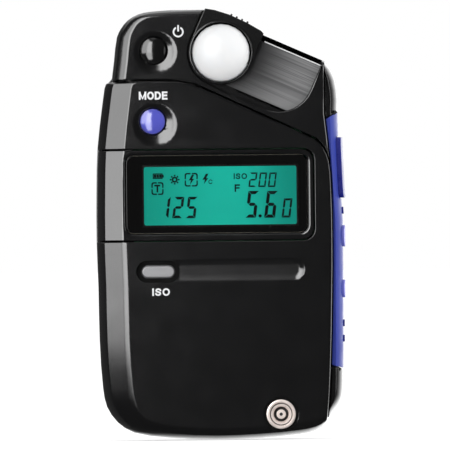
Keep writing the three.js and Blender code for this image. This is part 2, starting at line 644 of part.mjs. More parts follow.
const panelOutline = (by) => [
  [panel.inner, panelShares.low * height - by], [panel.outer, panelShares.lowOuter * height - by],
  [panel.outer, panelShares.highOuter * height + by], [panel.inner, panelShares.high * height + by],
];

const bayPlate = () => plateOf(bay, 0, overrun);
const insideBack = (by) => loft(backCurve(innerSpans), innerLevels(backLevels, by, {}, false));

function makeBackShell() {
  const outer = flankShell();
  const flankCore = cut(block(panel.inner, overrun, -overrun, overrun, -overrun, height + overrun), [
    coverZone(-overrun, overrun, -wall),
    headZone(-overrun, overrun, -wall),
  ]);
  const hollow = cut(insideBack(wall), [flankCore]);
  const ledge = prism(roundedOutline([lid.left - wall, lid.low + seam], [lid.right + wall, lid.high + wall],
    lid.corner), 0, overrun).intersect(insideBack(lid.thickness + lid.clear));
  const ledgeHollow = insideBack(lid.thickness + lid.clear + bay.ledge);
  const screwBosses = caseScrewPlaces.map((place) =>
    bossAt(place, boss.backRadius, halfSeam, backDepth - wall / 2).intersect(outer));
  return cut(joined([cut(outer, [hollow]), cut(ledge, [ledgeHollow]), ...screwBosses]), [
    coverZone(-overrun, halfSeam, seam),
    headZone(-overrun, halfSeam, seam),
    panelCut(),
    cut(lidRecess(), [insideBack(lid.thickness + lid.clear)]),
    bayPlate(),
    ...caseScrewPlaces.map((place) => bossAt(place, caseScrew.head + boss.clear,
      screwHeadBack - caseScrew.headHeight - glueGap, overrun)),
    ...caseScrewPlaces.map((place) => bossAt(place, boss.bore, -overrun, overrun)),
    ...sideStemHoles(),
    strapNotch(),
    rod(strap.radius + halfSeam, strap.x - strap.halfLength - halfSeam, strap.x + strap.halfLength + halfSeam,
      backDepth - strap.sink, strap.z),
  ]);
}

const strapNotch = () => plateOf({
  left: strap.x - strap.notchHalf, right: strap.x + strap.notchHalf,
  low: strap.z - strap.notchHalf, high: strap.z + strap.notchHalf, corner: strap.notchHalf / 2,
}, backDepth - strap.notchDepth, overrun);

const panelCut = () => cut(prism(panelOutline(halfSeam), -overrun, panel.back + halfSeam), [
  coverZone(-overrun, overrun, 0), headZone(-overrun, overrun, 0),
]);

const keyOutline = (flankKey, by) => roundedOutline(
  [flankMid - flankKey.halfDepth - by, lowOf(flankKey) - by],
  [flankMid + flankKey.halfDepth + by, highOf(flankKey) + by], flankKey.corner + by);

const touchOutline = (z, by) => roundedOutline(
  [flankMid - touchDots.halfDepth - by, z - touchDots.halfHeight - by],
  [flankMid + touchDots.halfDepth + by, z + touchDots.halfHeight + by],
  touchDots.halfDepth + by - mergeTolerance);

function makeSidePanel() {
  const strip = prism(panelOutline(-halfSeam), -flankReach - wall, panel.back);
  return cut(loft(backOutline, backLevels).intersect(strip), [
    coverZone(-overrun, overrun, seam),
    headZone(-overrun, overrun, seam),
    ...flankKeys.map((flankKey) => sideBar(keyOutline(flankKey, sideKey.clear), panel.inner, overrun)),
    ...touchShares.map((share) =>
      sideBar(touchOutline(share * height, glueGap), halfWidth - touchDots.depth - glueGap, overrun)),
  ]);
}

const proudFlank = (by) =>
  loft(backOutline, backLevels.map((level) => ({ ...level, right: level.right - by })));

function makeSideKey(flankKey) {
  const inner = halfWidth - sideKey.depth;
  const cap = sideBar(keyOutline(flankKey, 0), inner, overrun).intersect(proudFlank(flankKey.proud));
  const stemTip = sideToggleTop + sideKey.travel + sideKey.clear / 2;
  const stem = rod(sideKey.stem, stemTip, inner + wall, flankMid, flankKey.z);
  return cap.add(stem);
}

function makeTouchDot(z) {
  const peg = sideBar(touchOutline(z, 0), halfWidth - touchDots.depth, overrun);
  return peg.intersect(proudFlank(touchDots.proud));
}

function makeBatteryCover() {
  const skin = cut(loft(backOutline, backLevels), [insideBack(lid.thickness)]);
  return skin.intersect(plateOf(lid, 0, overrun));
}

// Display

function makeBezel() {
  const levels = plateLevels.map((level, i) => ({
    ...level, y: level.y + (i === 0 ? bezel.step : 0), left: level.left + bezel.step,
    right: level.right + bezel.step,
  }));
  const zone = { ...bezel, left: -overrun, low: bezel.low + halfSeam, high: bezel.high - halfSeam,
    right: bezel.right - halfSeam };
  const skin = cut(loft(coverOutline, levels, cornerBeside), [
    coverHollow(levels),
    block(-overrun, overrun, -halfSeam, overrun, -overrun, height),
  ]);
  const faceY = -plateDepth + bezel.step;
  return cut(skin.intersect(plateOf(zone, -overrun, overrun)), [
    plateOf(grown(glass, halfSeam), -overrun, overrun),
    lipCutter(grown(glass, glass.lip), faceY - seam, grown(glass, halfSeam), -glass.front),
  ]);
}

// A frame-shaped slope from one rounded rectangle to a smaller one behind it
function lipCutter(outerBox, outerY, innerBox, innerY) {
  const ring = (box) => roundedOutline([box.left, box.low], [box.right, box.high], box.corner);
  const outline = ring(outerBox);
  const inner = ring(innerBox);
  const count = outline.length;
  const triangles = [];
  const flat = (points) => points.map(([x, z]) => new THREE.Vector2(x, z));
  for (const [a, b, c] of THREE.ShapeUtils.triangulateShape(flat(outline), [])) triangles.push(a, b, c);
  for (const [a, b, c] of THREE.ShapeUtils.triangulateShape(flat(inner), [])) {
    triangles.push(count + a, count + c, count + b);
  }
  for (let i = 0; i < count; i++) {
    const next = (i + 1) % count;
    triangles.push(i, i + count, next, next, i + count, next + count);
  }
  const places = [...outline.map(([x, z]) => [x, outerY, z]), ...inner.map(([x, z]) => [x, innerY, z])];
  const geometry = new THREE.BufferGeometry();
  geometry.setAttribute("position", new THREE.BufferAttribute(new Float32Array(places.flat()), 3));
  geometry.setIndex(triangles);
  return toSolid(geometry);
}

function makeHolder() {
  const around = grown(lcd, holder.clear + holder.wall);
  const backStop = -board.front - glueGap;
  return cut(plateOf(around, -lcd.front, backStop), [
    plateOf(grown(lcd, holder.clear), -overrun, -lcd.back + glueGap),
    plateOf(grown(lcd, -holder.wall), -overrun, overrun),
  ]);
}

function makeZebra(low) {
  return block(lcd.left + zebra.inset, lcd.right - zebra.inset, -lcd.back + glueGap, -board.front - glueGap,
    low, low + zebra.height);
}

// Carriage and dome

function carriageOutline() {
  const outline = carriage.hump.map(([s, t]) => onSlide(s, t));
  const steps = roundSteps / 2;
  for (let i = 0; i <= steps; i++) {
    const angle = Math.PI * (1 + i / steps);
    outline.push(onSlide(carriage.radius * Math.cos(angle), carriage.radius * Math.sin(angle)));
  }
  return outline;
}

function makeCarriage() {
  const lipLine = slope + carriage.lipGap;
  const plate = prism(carriageOutline(), -carriage.front, -carriage.back);
  const underLip = lipLine - mergeTolerance;
  const lip = prism([...carriage.hump.map(([s, t]) => onSlide(s, t)),
    onSlide(-carriage.radius, underLip), onSlide(carriage.hump[0][0], underLip)],
  -carriage.front, carriage.lipBack);
  const ring = turned([
    [domeRadius + halfSeam, -carriage.front - carriage.ringRise],
    [carriage.radius - halfSeam, -carriage.front - carriage.ringRise],
    [carriage.radius, -carriage.front - carriage.ringRise / 2],
    [carriage.radius, -carriage.back],
    [domeRadius + halfSeam, -carriage.back],
    [domeRadius + halfSeam, -carriage.front - carriage.ringRise],
  ], domeX, domeZ);
  const ridges = [];
  for (let i = 0; i < ridge.count; i++) {
    const s = ridge.first + i * ridge.pitch;
    ridges.push(slideBox(s, s + ridge.width, lipLine + halfSeam, humpAt(s) + ridge.rise,
      -carriage.front + ridge.width, carriage.lipBack - ridge.width));
  }
  const stemMid = (slot.low + slot.high) / 2;
  const stem = slideBox(-foot.half, foot.half, stemMid - foot.thickness / 2, stemMid + foot.thickness / 2,
    -carriage.back - wall / 2, -foot.bottom);
  const hook = slideBox(-foot.half, foot.half, foot.hookLow, stemMid, -foot.top, -foot.bottom);
  return cut(joined([plate, lip, ring, ...ridges, stem, hook]), [
    disc(domeRadius + halfSeam, domeX, domeZ, -overrun, -carriage.back + wall),
  ]);
}

function humpAt(s) {
  const places = carriage.hump;
  const i = places.findIndex(([along]) => along <= s);
  const [[s1, t1], [s0, t0]] = [places[i - 1], places[i]];
  return t0 + (t1 - t0) * (s - s0) / (s1 - s0);
}

function makeDome() {
  const steps = cornerSteps * 2;
  const profile = [];
  for (let i = 0; i <= steps; i++) {
    const angle = Math.PI / 2 * i / steps;
    profile.push([i === 0 ? 0 : domeRadius * Math.sin(angle), -carriage.back - domeRise * Math.cos(angle)]);
  }
  for (let i = steps; i >= 0; i--) {
    const angle = Math.PI / 2 * i / steps;
    profile.push([i === 0 ? 0 : (domeRadius - domeWall) * Math.sin(angle),
      -carriage.back - (domeRise - domeWall) * Math.cos(angle)]);
  }
  return turned(profile, domeX, domeZ);
}

function makeChannelPlate() {
  const strip = prism(stripOutline(0), -plateStrip.face, -plateStrip.back);
  const pitch = (plateStrip.low + plateStrip.high) / (plateStrip.grooves + 1);
  const grooves = [];
  for (let i = 1; i <= plateStrip.grooves; i++) {
    const t = -plateStrip.low + pitch * i;
    grooves.push(slideBox(plateStrip.from - wall, slideTravel + channel.reach, t - pitch / 4, t + pitch / 4,
      -overrun, -plateStrip.face + plateStrip.grooveDepth));
  }
  return cut(strip, grooves);
}

function makeClickSpring() {
  const rise = click.low + click.post;
  const outline = [
    onSlide(click.from, click.low), onSlide(click.bend, rise), onSlide(click.to, rise),
    onSlide(click.to, rise + click.thickness), onSlide(click.peak, click.high),
    onSlide(click.bend, rise + click.thickness), onSlide(click.from, click.low + click.thickness),
  ];
  return prism(outline, -click.front, -click.back);
}

// Buttons and switches

function makeRoundButton(place, face) {
  const top = -face + key.sink;
  return turned([
    ...key.crownShares.map(([across, up]) => [place.radius * across, top - key.crown * up]),
    [place.radius, top + key.crown / 2], [place.radius, flangeFront(face)],
    [place.radius + key.flangeGrow, flangeFront(face)], [place.radius + key.flangeGrow, flangeBack(face)],
    [key.stem, flangeBack(face)], [key.stem, stemEnd], [0, stemEnd],
  ], place.x, place.z);
}

function makeIsoButton() {
  const cap = prism(capsuleOutline(isoKey.x, isoKey.z, isoKey.halfLength, isoKey.halfHeight),
    -plateDepth + isoKey.sink, flangeBack(plateDepth));
  const flange = prism(capsuleOutline(isoKey.x, isoKey.z, isoKey.halfLength + key.flangeGrow,
    isoKey.halfHeight + key.flangeGrow), flangeFront(plateDepth), flangeBack(plateDepth));
  const stem = disc(key.stem, isoKey.x, isoKey.z, flangeFront(plateDepth), stemEnd, smallSteps);
  return joined([cap, flange, stem]);
}

function makeToggle(x, z) {
  const base = -board.front - glueGap;
  const { half, height: tall } = toggle;
  const body = block(x - half, x + half, base - tall, base, z - half, z + half);
  return body.add(disc(toggle.plunger, x, z, toggleTop, base - tall / 2, smallSteps));
}

function makeSideToggle(z) {
  const base = sideBoardFace + glueGap;
  const side = [[-toggle.half, -toggle.half], [toggle.half, -toggle.half], [toggle.half, toggle.half],
    [-toggle.half, toggle.half]].map(([y, up]) => [flankMid + y, z + up]);
  return sideBar(side, base, base + toggle.sideHeight).add(
    rod(toggle.plunger, base + toggle.sideHeight / 2, sideToggleTop, flankMid, z));
}

// Sync terminal

function makeSyncSleeve() {
  return turned([
    [sync.bore, -sync.face], [sync.flange, -sync.face], [sync.flange, -sync.flangeBack],
    [sync.body, -sync.flangeBack], [sync.body, -sync.rear], [sync.bore, -sync.rear], [sync.bore, -sync.face],
  ], sync.x, sync.z);
}

function makeSyncInsulator() {
  const outer = sync.bore - halfSeam / 2;
  return turned([
    [sync.seat, -sync.flangeBack + wall], [outer, -sync.flangeBack + wall], [outer, -sync.rear],
    [sync.seat, -sync.rear], [sync.seat, -sync.flangeBack + wall],
  ], sync.x, sync.z);
}

function makeSyncContact() {
  const neck = sync.seat - halfSeam / 2;
  const shoulder = -sync.flangeBack + wall - glueGap;
  return turned([
    [0, -sync.flangeBack], [sync.contactHole, -sync.flangeBack], [sync.contactHole, -sync.contactFace],
    [sync.contact, -sync.contactFace], [sync.contact, shoulder], [neck, shoulder], [neck, -sync.contactRear],
    [0, -sync.contactRear],
  ], sync.x, sync.z);
}

function makeSyncNut() {
  const front = -nut.seat + glueGap;
  return cut(disc(nut.radius, sync.x, sync.z, front, front + nut.thickness, nut.sides), [
    disc(sync.body + halfSeam, sync.x, sync.z, -overrun, 0),
  ]);
}

// Power

function makeBattery() {
  const { radius, length, nub, nubLength, y } = cellBattery;
  const edge = nubLength / 2;
  return crossBar([
    [0, 0], [radius - edge, 0], [radius, edge], [radius, length - nubLength - edge],
    [radius - edge, length - nubLength], [nub, length - nubLength], [nub, length], [0, length],
  ], batteryLeft, y, batteryZ);
}

function makeBatterySpring() {
  const { radius, topRadius, wire, turns, length, steps, sides } = coil;
  const start = batteryLeft - contact.gap - wire - length;
  const points = [];
  for (let i = 0; i <= turns * steps; i++) {
    const share = i / (turns * steps);
    const angle = Math.PI * 2 * i / steps;
    const reach = radius + (topRadius - radius) * share;
    points.push(new THREE.Vector3(start + length * share,
      cellBattery.y + reach * Math.cos(angle), batteryZ + reach * Math.sin(angle)));
  }
  const section = new THREE.Shape(Array.from({ length: sides }, (_, i) => new THREE.Vector2(
    wire * Math.cos(Math.PI * 2 * i / sides), wire * Math.sin(Math.PI * 2 * i / sides))));
  return toSolid(new THREE.ExtrudeGeometry(section, {
    steps: turns * steps, bevelEnabled: false, extrudePath: new THREE.CatmullRomCurve3(points),
  }));
}

function makeBatteryPlate() {
  const start = batteryLeft + cellBattery.length + contact.gap;
  const { y } = cellBattery;
  const { half, thickness } = contact;
  return block(start, start + thickness, y - half, y + half, batteryZ - half, batteryZ + half);
}

// Fasteners

function makeCaseScrew([x, z]) {
  const under = screwHeadBack - caseScrew.headHeight;
  const { shank, head, sink } = caseScrew;
  const screw = turned([
    [0, screwTip], [shank, screwTip + shank], [shank, under], [head, under],
    [head, screwHeadBack - sink], [head - sink, screwHeadBack], [0, screwHeadBack],
  ], x, z, smallSteps);
  const [reach, half] = [caseScrew.slotReach, caseScrew.slot / 2];
  const bottom = screwHeadBack - caseScrew.slotDepth;
  return cut(screw, [
    block(x - reach, x + reach, bottom, overrun, z - half, z + half),
    block(x - half, x + half, bottom, overrun, z - reach, z + reach),
  ]);
}

function makeBoardScrew([x, z]) {
  const under = -board.back + glueGap;
  return turned([
    [0, -board.front - boardScrew.length + seam], [boardScrew.shank, -board.front - boardScrew.length + seam],
    [boardScrew.shank, under], [boardScrew.head, under], [boardScrew.head, under + boardScrew.headHeight],
    [0, under + boardScrew.headHeight],
  ], x, z, smallSteps);
}

// Boards

function makeMainBoard() {
  const [left, right] = [board.leftRoom - halfWidth, halfWidth - board.rightRoom];
  const [high, tongueHigh] = [boardShares.high * height, boardShares.tongue * height];
  const tongueRight = powerKey.x + board.tongueSide;
  const outline = [[left, boardLow], [right, boardLow], [right, high - wall * 2], [right - wall * 2, high],
    [tongueRight, high], [tongueRight, tongueHigh], [left, tongueHigh]];
  const clearances = caseScrewPlaces.map((place) => bossAt(place, boss.radius + seam, -overrun, overrun));
  const holes = boardScrewPlaces.map((place) =>
    bossAt(place, boardScrew.shank + halfSeam, -overrun, overrun));
  return cut(prism(outline, -board.front, -board.back), [...clearances, ...holes]);
}

function makeSideBoard() {
  const { thickness, below, above, halfDepth } = sideBoard;
  return block(sideBoardFace - thickness, sideBoardFace, flankMid - halfDepth, flankMid + halfDepth,
    lowOf(downKey) - below, highOf(measureKey) + above);
}

function makeCellBoard() {
  const half = cell.boardHalf;
  return slideBox(-half, half, -half / 2, half / 2, -cell.boardFront, -cell.boardBack);
}

// The whole meter

addMesh("front_cover", makeFrontCover(), matteBlack);
addMesh("head_cover", makeHeadCover(), matteBlack);
addMesh("back_shell", makeBackShell(), matteBlack);
addMesh("side_panel", makeSidePanel(), blue);
addMesh("battery_cover", makeBatteryCover(), matteBlack);
touchShares.forEach((share, i) => addMesh(`touch_dot_${i + 1}`, makeTouchDot(share * height), deepBlue));

addMesh("display_bezel", makeBezel(), glossBlack);
addMesh("display_window", plateOf(glass, -glass.front, -glass.back), clear);
const maskFront = -glass.back + glueGap;
addMesh("display_mask", cut(plateOf(grown(glass, -seam), maskFront, maskFront + maskThickness), [
  plateOf(lcdView, -overrun, overrun),
]), glossBlack);
addMesh("lcd_glass", plateOf(lcd, -lcd.front, -lcd.back), lcdGreen);
addMesh("lcd_holder", makeHolder(), cream);
addMesh("light_panel", plateOf(grown(lcd, -lightPanel.inset), -lcd.back + glueGap,
  -lcd.back + glueGap + lightPanel.thickness), white);
addMesh("zebra_strip_1", makeZebra(lcd.low + holder.wall / 2 + seam), matteBlack);

addMesh("power_button", makeRoundButton(powerKey, headDepth), matteBlack);
addMesh("mode_button", makeRoundButton(modeKey, plateDepth), blue);
addMesh("iso_button", makeIsoButton(), grey);
addMesh("measure_button", makeSideKey(measureKey), deepBlue);
addMesh("up_key", makeSideKey(upKey), blue);
addMesh("down_key", makeSideKey(downKey), blue);

addMesh("dome", makeDome(), white);
addMesh("dome_carriage", makeCarriage(), matteBlack);
addMesh("channel_plate", makeChannelPlate(), grey);
addMesh("receptor_window", disc(cell.windowRadius, domeX, domeZ, -cell.windowFace, -cell.windowBack), clear);
addMesh("cell_filter", disc(cell.filterRadius, domeX, domeZ, -cell.filterFront, -cell.filterBack), clear);
addMesh("photo_cell", slideBox(-cell.half, cell.half, -cell.half, cell.half, -cell.front,
  -cell.boardFront - glueGap), metal);
addMesh("cell_board", makeCellBoard(), boardGreen);
addMesh("click_spring", makeClickSpring(), metal);

addMesh("sync_sleeve", makeSyncSleeve(), metal);
addMesh("sync_insulator", makeSyncInsulator(), matteBlack);
addMesh("sync_contact", makeSyncContact(), metal);
addMesh("sync_nut", makeSyncNut(), metal);

addMesh("main_board", makeMainBoard(), boardGreen);
addMesh("processor_chip", block(chip.x - chip.half, chip.x + chip.half, -board.back + glueGap,
  -board.back + glueGap + chip.thickness, chip.z - chip.half, chip.z + chip.half), matteBlack);
addMesh("side_board", makeSideBoard(), boardGreen);
addMesh("power_switch", makeToggle(powerKey.x, powerKey.z), metal);
addMesh("mode_switch", makeToggle(modeKey.x, modeKey.z), metal);
addMesh("iso_switch", makeToggle(isoKey.x, isoKey.z), metal);
flankKeys.forEach((flankKey, i) => addMesh(`${["measure", "up", "down"][i]}_switch`,
  makeSideToggle(flankKey.z), metal));

addMesh("battery", makeBattery(), metal);
addMesh("battery_spring", makeBatterySpring(), metal);
addMesh("battery_plate", makeBatteryPlate(), metal);

caseScrewPlaces.forEach((place, i) => addMesh(`case_screw_${i + 1}`, makeCaseScrew(place), metal));
boardScrewPlaces.forEach((place, i) => addMesh(`board_screw_${i + 1}`, makeBoardScrew(place), metal));
addMesh("strap_bar", rod(strap.radius, strap.x - strap.halfLength, strap.x + strap.halfLength,
  backDepth - strap.sink, strap.z), metal);

// The origin is under the middle of the meter's box, at its lowest point
const reach = new THREE.Box3().setFromObject(meter);
meter.position.set(-(reach.min.x + reach.max.x) / 2, -(reach.min.y + reach.max.y) / 2, -reach.min.z);

export default meter;
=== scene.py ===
import math
import bpy
import bmesh
from mathutils import Matrix, Vector


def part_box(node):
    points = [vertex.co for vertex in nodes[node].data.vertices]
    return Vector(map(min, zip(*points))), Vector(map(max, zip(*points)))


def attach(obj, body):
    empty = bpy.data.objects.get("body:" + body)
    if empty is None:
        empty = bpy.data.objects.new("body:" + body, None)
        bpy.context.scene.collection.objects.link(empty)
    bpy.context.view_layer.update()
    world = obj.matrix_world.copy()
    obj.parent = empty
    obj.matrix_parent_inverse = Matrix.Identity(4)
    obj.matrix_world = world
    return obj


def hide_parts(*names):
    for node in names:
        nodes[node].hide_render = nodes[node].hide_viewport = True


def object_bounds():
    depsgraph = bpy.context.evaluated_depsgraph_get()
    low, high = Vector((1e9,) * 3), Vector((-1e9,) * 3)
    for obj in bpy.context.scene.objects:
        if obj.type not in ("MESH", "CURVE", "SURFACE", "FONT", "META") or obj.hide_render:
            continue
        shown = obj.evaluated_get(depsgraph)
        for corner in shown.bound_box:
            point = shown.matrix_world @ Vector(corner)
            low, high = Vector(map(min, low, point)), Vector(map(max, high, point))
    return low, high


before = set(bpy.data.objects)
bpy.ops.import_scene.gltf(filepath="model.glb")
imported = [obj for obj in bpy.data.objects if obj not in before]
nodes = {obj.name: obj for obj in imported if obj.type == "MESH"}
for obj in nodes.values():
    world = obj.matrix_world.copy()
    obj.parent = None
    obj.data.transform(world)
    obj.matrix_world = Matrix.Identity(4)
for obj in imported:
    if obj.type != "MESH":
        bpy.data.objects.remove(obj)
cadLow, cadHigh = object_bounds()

mm = 0.001
scene = bpy.context.scene
print("frame loaded:", len(nodes), "solids")

# Where a point of the picture lies on the meter, seen straight from the front.
picture = {
    "pixel": 0.2552 * mm,
    "zeroX": 220.1,
    "zeroY": 224.0,
    "footBelow": 215.3,
    "roll": 0.0105,
    "shiftX": -0.3702 * mm,
    "shiftZ": -0.0064 * mm,
}
pixel = picture["pixel"]


def spotAt(px, py):
    across = px - picture["zeroX"]
    up = picture["zeroY"] - py
    rolledAcross = across + picture["roll"] * up
    rolledUp = up - picture["roll"] * across
    x = rolledAcross * pixel + picture["shiftX"]
    z = (rolledUp + picture["footBelow"]) * pixel + picture["shiftZ"]
    return x, z


# The camera comes first: a long lens, square to the face, turned by the roll of the picture.
cameraSet = {
    "lens": 1200.0,
    "sensor": 36.0,
    "across": 450,
    "aim": (225.5, 224.4),
    "sharpDepth": -3.0 * mm,
    "clip": (0.1, 40),
}


def makeCamera(look):
    data = bpy.data.cameras.new("frontCamera")
    data.type = "PERSP"
    data.lens = look["lens"]
    data.sensor_width = look["sensor"]
    data.dof.use_dof = False
    distance = look["across"] * pixel * look["lens"] / look["sensor"]
    data.clip_start, data.clip_end = (distance * share for share in look["clip"])
    x, z = spotAt(*look["aim"])
    roll = picture["roll"]
    right = Vector((1, 0, -roll)).normalized()
    up = Vector((roll, 0, 1)).normalized()
    back = Vector((0, -1, 0))
    place = Matrix((right, up, back)).transposed().to_4x4()
    place.translation = Vector((x, look["sharpDepth"] - distance, z))
    camera = bpy.data.objects.new("frontCamera", data)
    scene.collection.objects.link(camera)
    camera.matrix_world = place
    scene.camera = camera


makeCamera(cameraSet)
scene.view_settings.view_transform = "Standard"
print("camera placed")


# Helpers for nodes. What goes into a socket is a number, a colour, a vector or another socket.
def feed(node, inputs):
    for key, value in inputs.items():
        socket = node.inputs[key]
        if isinstance(value, bpy.types.NodeSocket):
            node.id_data.links.new(value, socket)
        elif socket.type == "RGBA":
            socket.default_value = (*value, 1)
        else:
            socket.default_value = value


def applySettings(target, settings):
    for name, value in settings.items():
        setattr(target, name, value)


def addNode(tree, kind, inputs=None, **settings):
    node = tree.nodes.new(kind if "Node" in kind else "ShaderNode" + kind)
    applySettings(node, settings)
    feed(node, inputs or {})
    return node


def combine(tree, kind, a, b=0.0):
    return addNode(tree, "Math", {0: a, 1: b}, operation=kind).outputs[0]


def combineVectors(tree, kind, a, b):
    return addNode(tree, "VectorMath", {0: a, 1: b}, operation=kind).outputs


def separate(tree, vector):
    return addNode(tree, "SeparateXYZ", {0: vector}).outputs


def spread(tree, value, low, high, bottom, top, smooth=False):
    inputs = {"Value": value, "From Min": low, "From Max": high, "To Min": bottom, "To Max": top}
    kind = "SMOOTHSTEP" if smooth else "LINEAR"
    return addNode(tree, "MapRange", inputs, interpolation_type=kind).outputs[0]


def blendValue(tree, share, a, b):
    return addNode(tree, "Mix", {0: share, 2: a, 3: b}, data_type="FLOAT").outputs[0]


def blendColour(tree, share, a, b):
    return addNode(tree, "Mix", {0: share, 6: a, 7: b}, data_type="RGBA").outputs[2]


# World: white to the camera and behind glass, a calm fill for the body,
# and a studio of its own for reflections: dark in front and at the back left, bright at the back right.
# A ramp has its axis, where it starts and ends along it, and the strength before and after.
worldSet = {
    "fill": ("X", -0.4, 0.7, 0.70, 1.0),
    "back": ("Y", 0.55, 0.97, 0.0, 2.4),
    "backRight": ("X", -0.25, 0.25, 0.0, 1.0),
    "top": ("Z", 0.3, 0.6, 0.0, 1.6),
    "topBack": ("Y", 0.15, 0.5, 0.0, 1.0),
    "over": ("Z", 0.91, 0.99, 0.0, 0.9),
    "glass": ("Y", -0.1, 0.2, 0.0, 1.0),
}
mirrorDark = 0.075


def makeWorld(look):
    world = bpy.data.worlds.new("paleStudio")
    scene.world = world
    world.use_nodes = True
    world.cycles.sampling_method = "NONE"
    tree = world.node_tree
    tree.nodes.clear()
    parts = separate(tree, addNode(tree, "TexCoord").outputs["Generated"])
    ramps = {}
    for name, (axis, *values) in look.items():
        ramps[name] = spread(tree, parts[axis], *values, True)
    back = combine(tree, "MULTIPLY", ramps["back"], ramps["backRight"])
    top = combine(tree, "MULTIPLY", ramps["top"], ramps["topBack"])
    mirror = combine(tree, "MAXIMUM", back, top)
    for light in (ramps["over"], mirrorDark):
        mirror = combine(tree, "MAXIMUM", mirror, light)
    through = combine(tree, "MAXIMUM", mirror, ramps["glass"])
    path = addNode(tree, "LightPath").outputs
    strength = blendValue(tree, path["Is Glossy Ray"], ramps["fill"], mirror)
    strength = blendValue(tree, path["Is Transmission Ray"], strength, through)
    strength = blendValue(tree, path["Is Camera Ray"], strength, 1.0)
    background = addNode(tree, "Background", {"Color": (1, 1, 1), "Strength": strength})
    addNode(tree, "OutputWorld", {"Surface": background.outputs[0]})


makeWorld(worldSet)


# Soft boxes: angle round the meter from straight in front, positive to the left, distance, height, size,
# radiance, and who sees it. "diffuse" gives light alone, "glossy" is a card that shows in reflections alone.
lampSet = {
    "leftBox": (34, 0.80, 0.12, (0.60, 0.60), 2.2, "diffuse"),
    "nearCard": (25, 0.38, 0.265, (0.19, 0.62), 7.1, "glossy"),
    "lowCard": (28, 0.38, -0.275, (0.25, 0.46), 5.6, "glossy"),
    "leftCard": (56, 0.38, 0.375, (0.24, 0.84), 4.3, "glossy"),
    "rightBox": (-92, 0.80, 0.16, (0.30, 0.60), 3.7, "both"),
    "topBox": (160, 0.75, 0.75, (0.6, 0.4), 1.2, "diffuse"),
}


def makeLamp(name, look, aim):
    angle, away, height, size, radiance, seen = look
    data = bpy.data.lights.new(name, "AREA")
    data.shape = "RECTANGLE"
    data.size, data.size_y = size
    data.energy = radiance * math.pi * size[0] * size[1]
    turn = math.radians(angle)
    place = Vector((-math.sin(turn), -math.cos(turn), 0)) * away
    place += Vector((aim.x, aim.y, aim.z + height))
    lamp = bpy.data.objects.new(name, data)
    scene.collection.objects.link(lamp)
    lamp.location = place
    lamp.rotation_mode = "QUATERNION"
    # a card stands upright, a box looks at the meter
    target = Vector((aim.x, aim.y, place.z)) if seen == "glossy" else aim
    lamp.rotation_quaternion = (target - place).to_track_quat("-Z", "Y")
    lamp.visible_camera = False
    lamp.visible_diffuse = seen != "glossy"
    lamp.visible_glossy = seen != "diffuse"
    return lamp


middle = (cadLow + cadHigh) / 2
lamps = {name: makeLamp(name, look, middle) for name, look in lampSet.items()}
print("lamps placed:", len(lamps))


# Helpers for materials
def freshMaterial(name, kind="BsdfPrincipled"):
    material = bpy.data.materials.new(name)
    material.use_nodes = True
    tree = material.node_tree
    tree.nodes.clear()
    shader = addNode(tree, kind)
    addNode(tree, "OutputMaterial", {"Surface": shader.outputs[0]})
    return material, tree, shader


def coordinates(tree, scale=None, turn=None):
    # turned first and stretched after, so that a stretch runs along the turned axes
    vector = addNode(tree, "TexCoord").outputs["Object"]
    for key, value in (("Rotation", turn), ("Scale", scale)):
        if value is not None:
            vector = addNode(tree, "Mapping", {"Vector": vector, key: value}).outputs[0]
    return vector


def cloud(tree, vector, scale, detail=2.0, rough=0.5):
    inputs = {"Vector": vector, "Scale": scale, "Detail": detail, "Roughness": rough}
    return addNode(tree, "TexNoise", inputs).outputs[0]


def patches(tree, vector, scale, detail, bottom=0.0, top=1.0):
    # most of a cloud's values lie between 0.3 and 0.7
    return spread(tree, cloud(tree, vector, scale, detail), 0.3, 0.7, bottom, top)


def bump(tree, height, strength, distance):
    inputs = {"Height": height, "Strength": strength, "Distance": distance}
    return addNode(tree, "Bump", inputs).outputs[0]


def edgeShare(tree, radius, low, high):
    # 0 on flats and 1 along an edge, from a rounded normal set against the plain one
    soft = addNode(tree, "Bevel", {"Radius": radius}, samples=4).outputs[0]
    plain = addNode(tree, "NewGeometry").outputs["Normal"]
    same = combineVectors(tree, "DOT_PRODUCT", soft, plain)["Value"]
    return spread(tree, combine(tree, "SUBTRACT", 1.0, same), low, high, 0.0, 1.0, True)


def insideFrame(tree, vector, centre, half):
    # 1 inside an upright rectangle in X and Z, 0 outside
    parts = separate(tree, vector)
    tests = []
    for axis, level, reach in zip("XZ", centre, half):
        away = combine(tree, "ABSOLUTE", combine(tree, "SUBTRACT", parts[axis], level))
        tests.append(combine(tree, "LESS_THAN", away, reach))
    return combine(tree, "MULTIPLY", *tests)


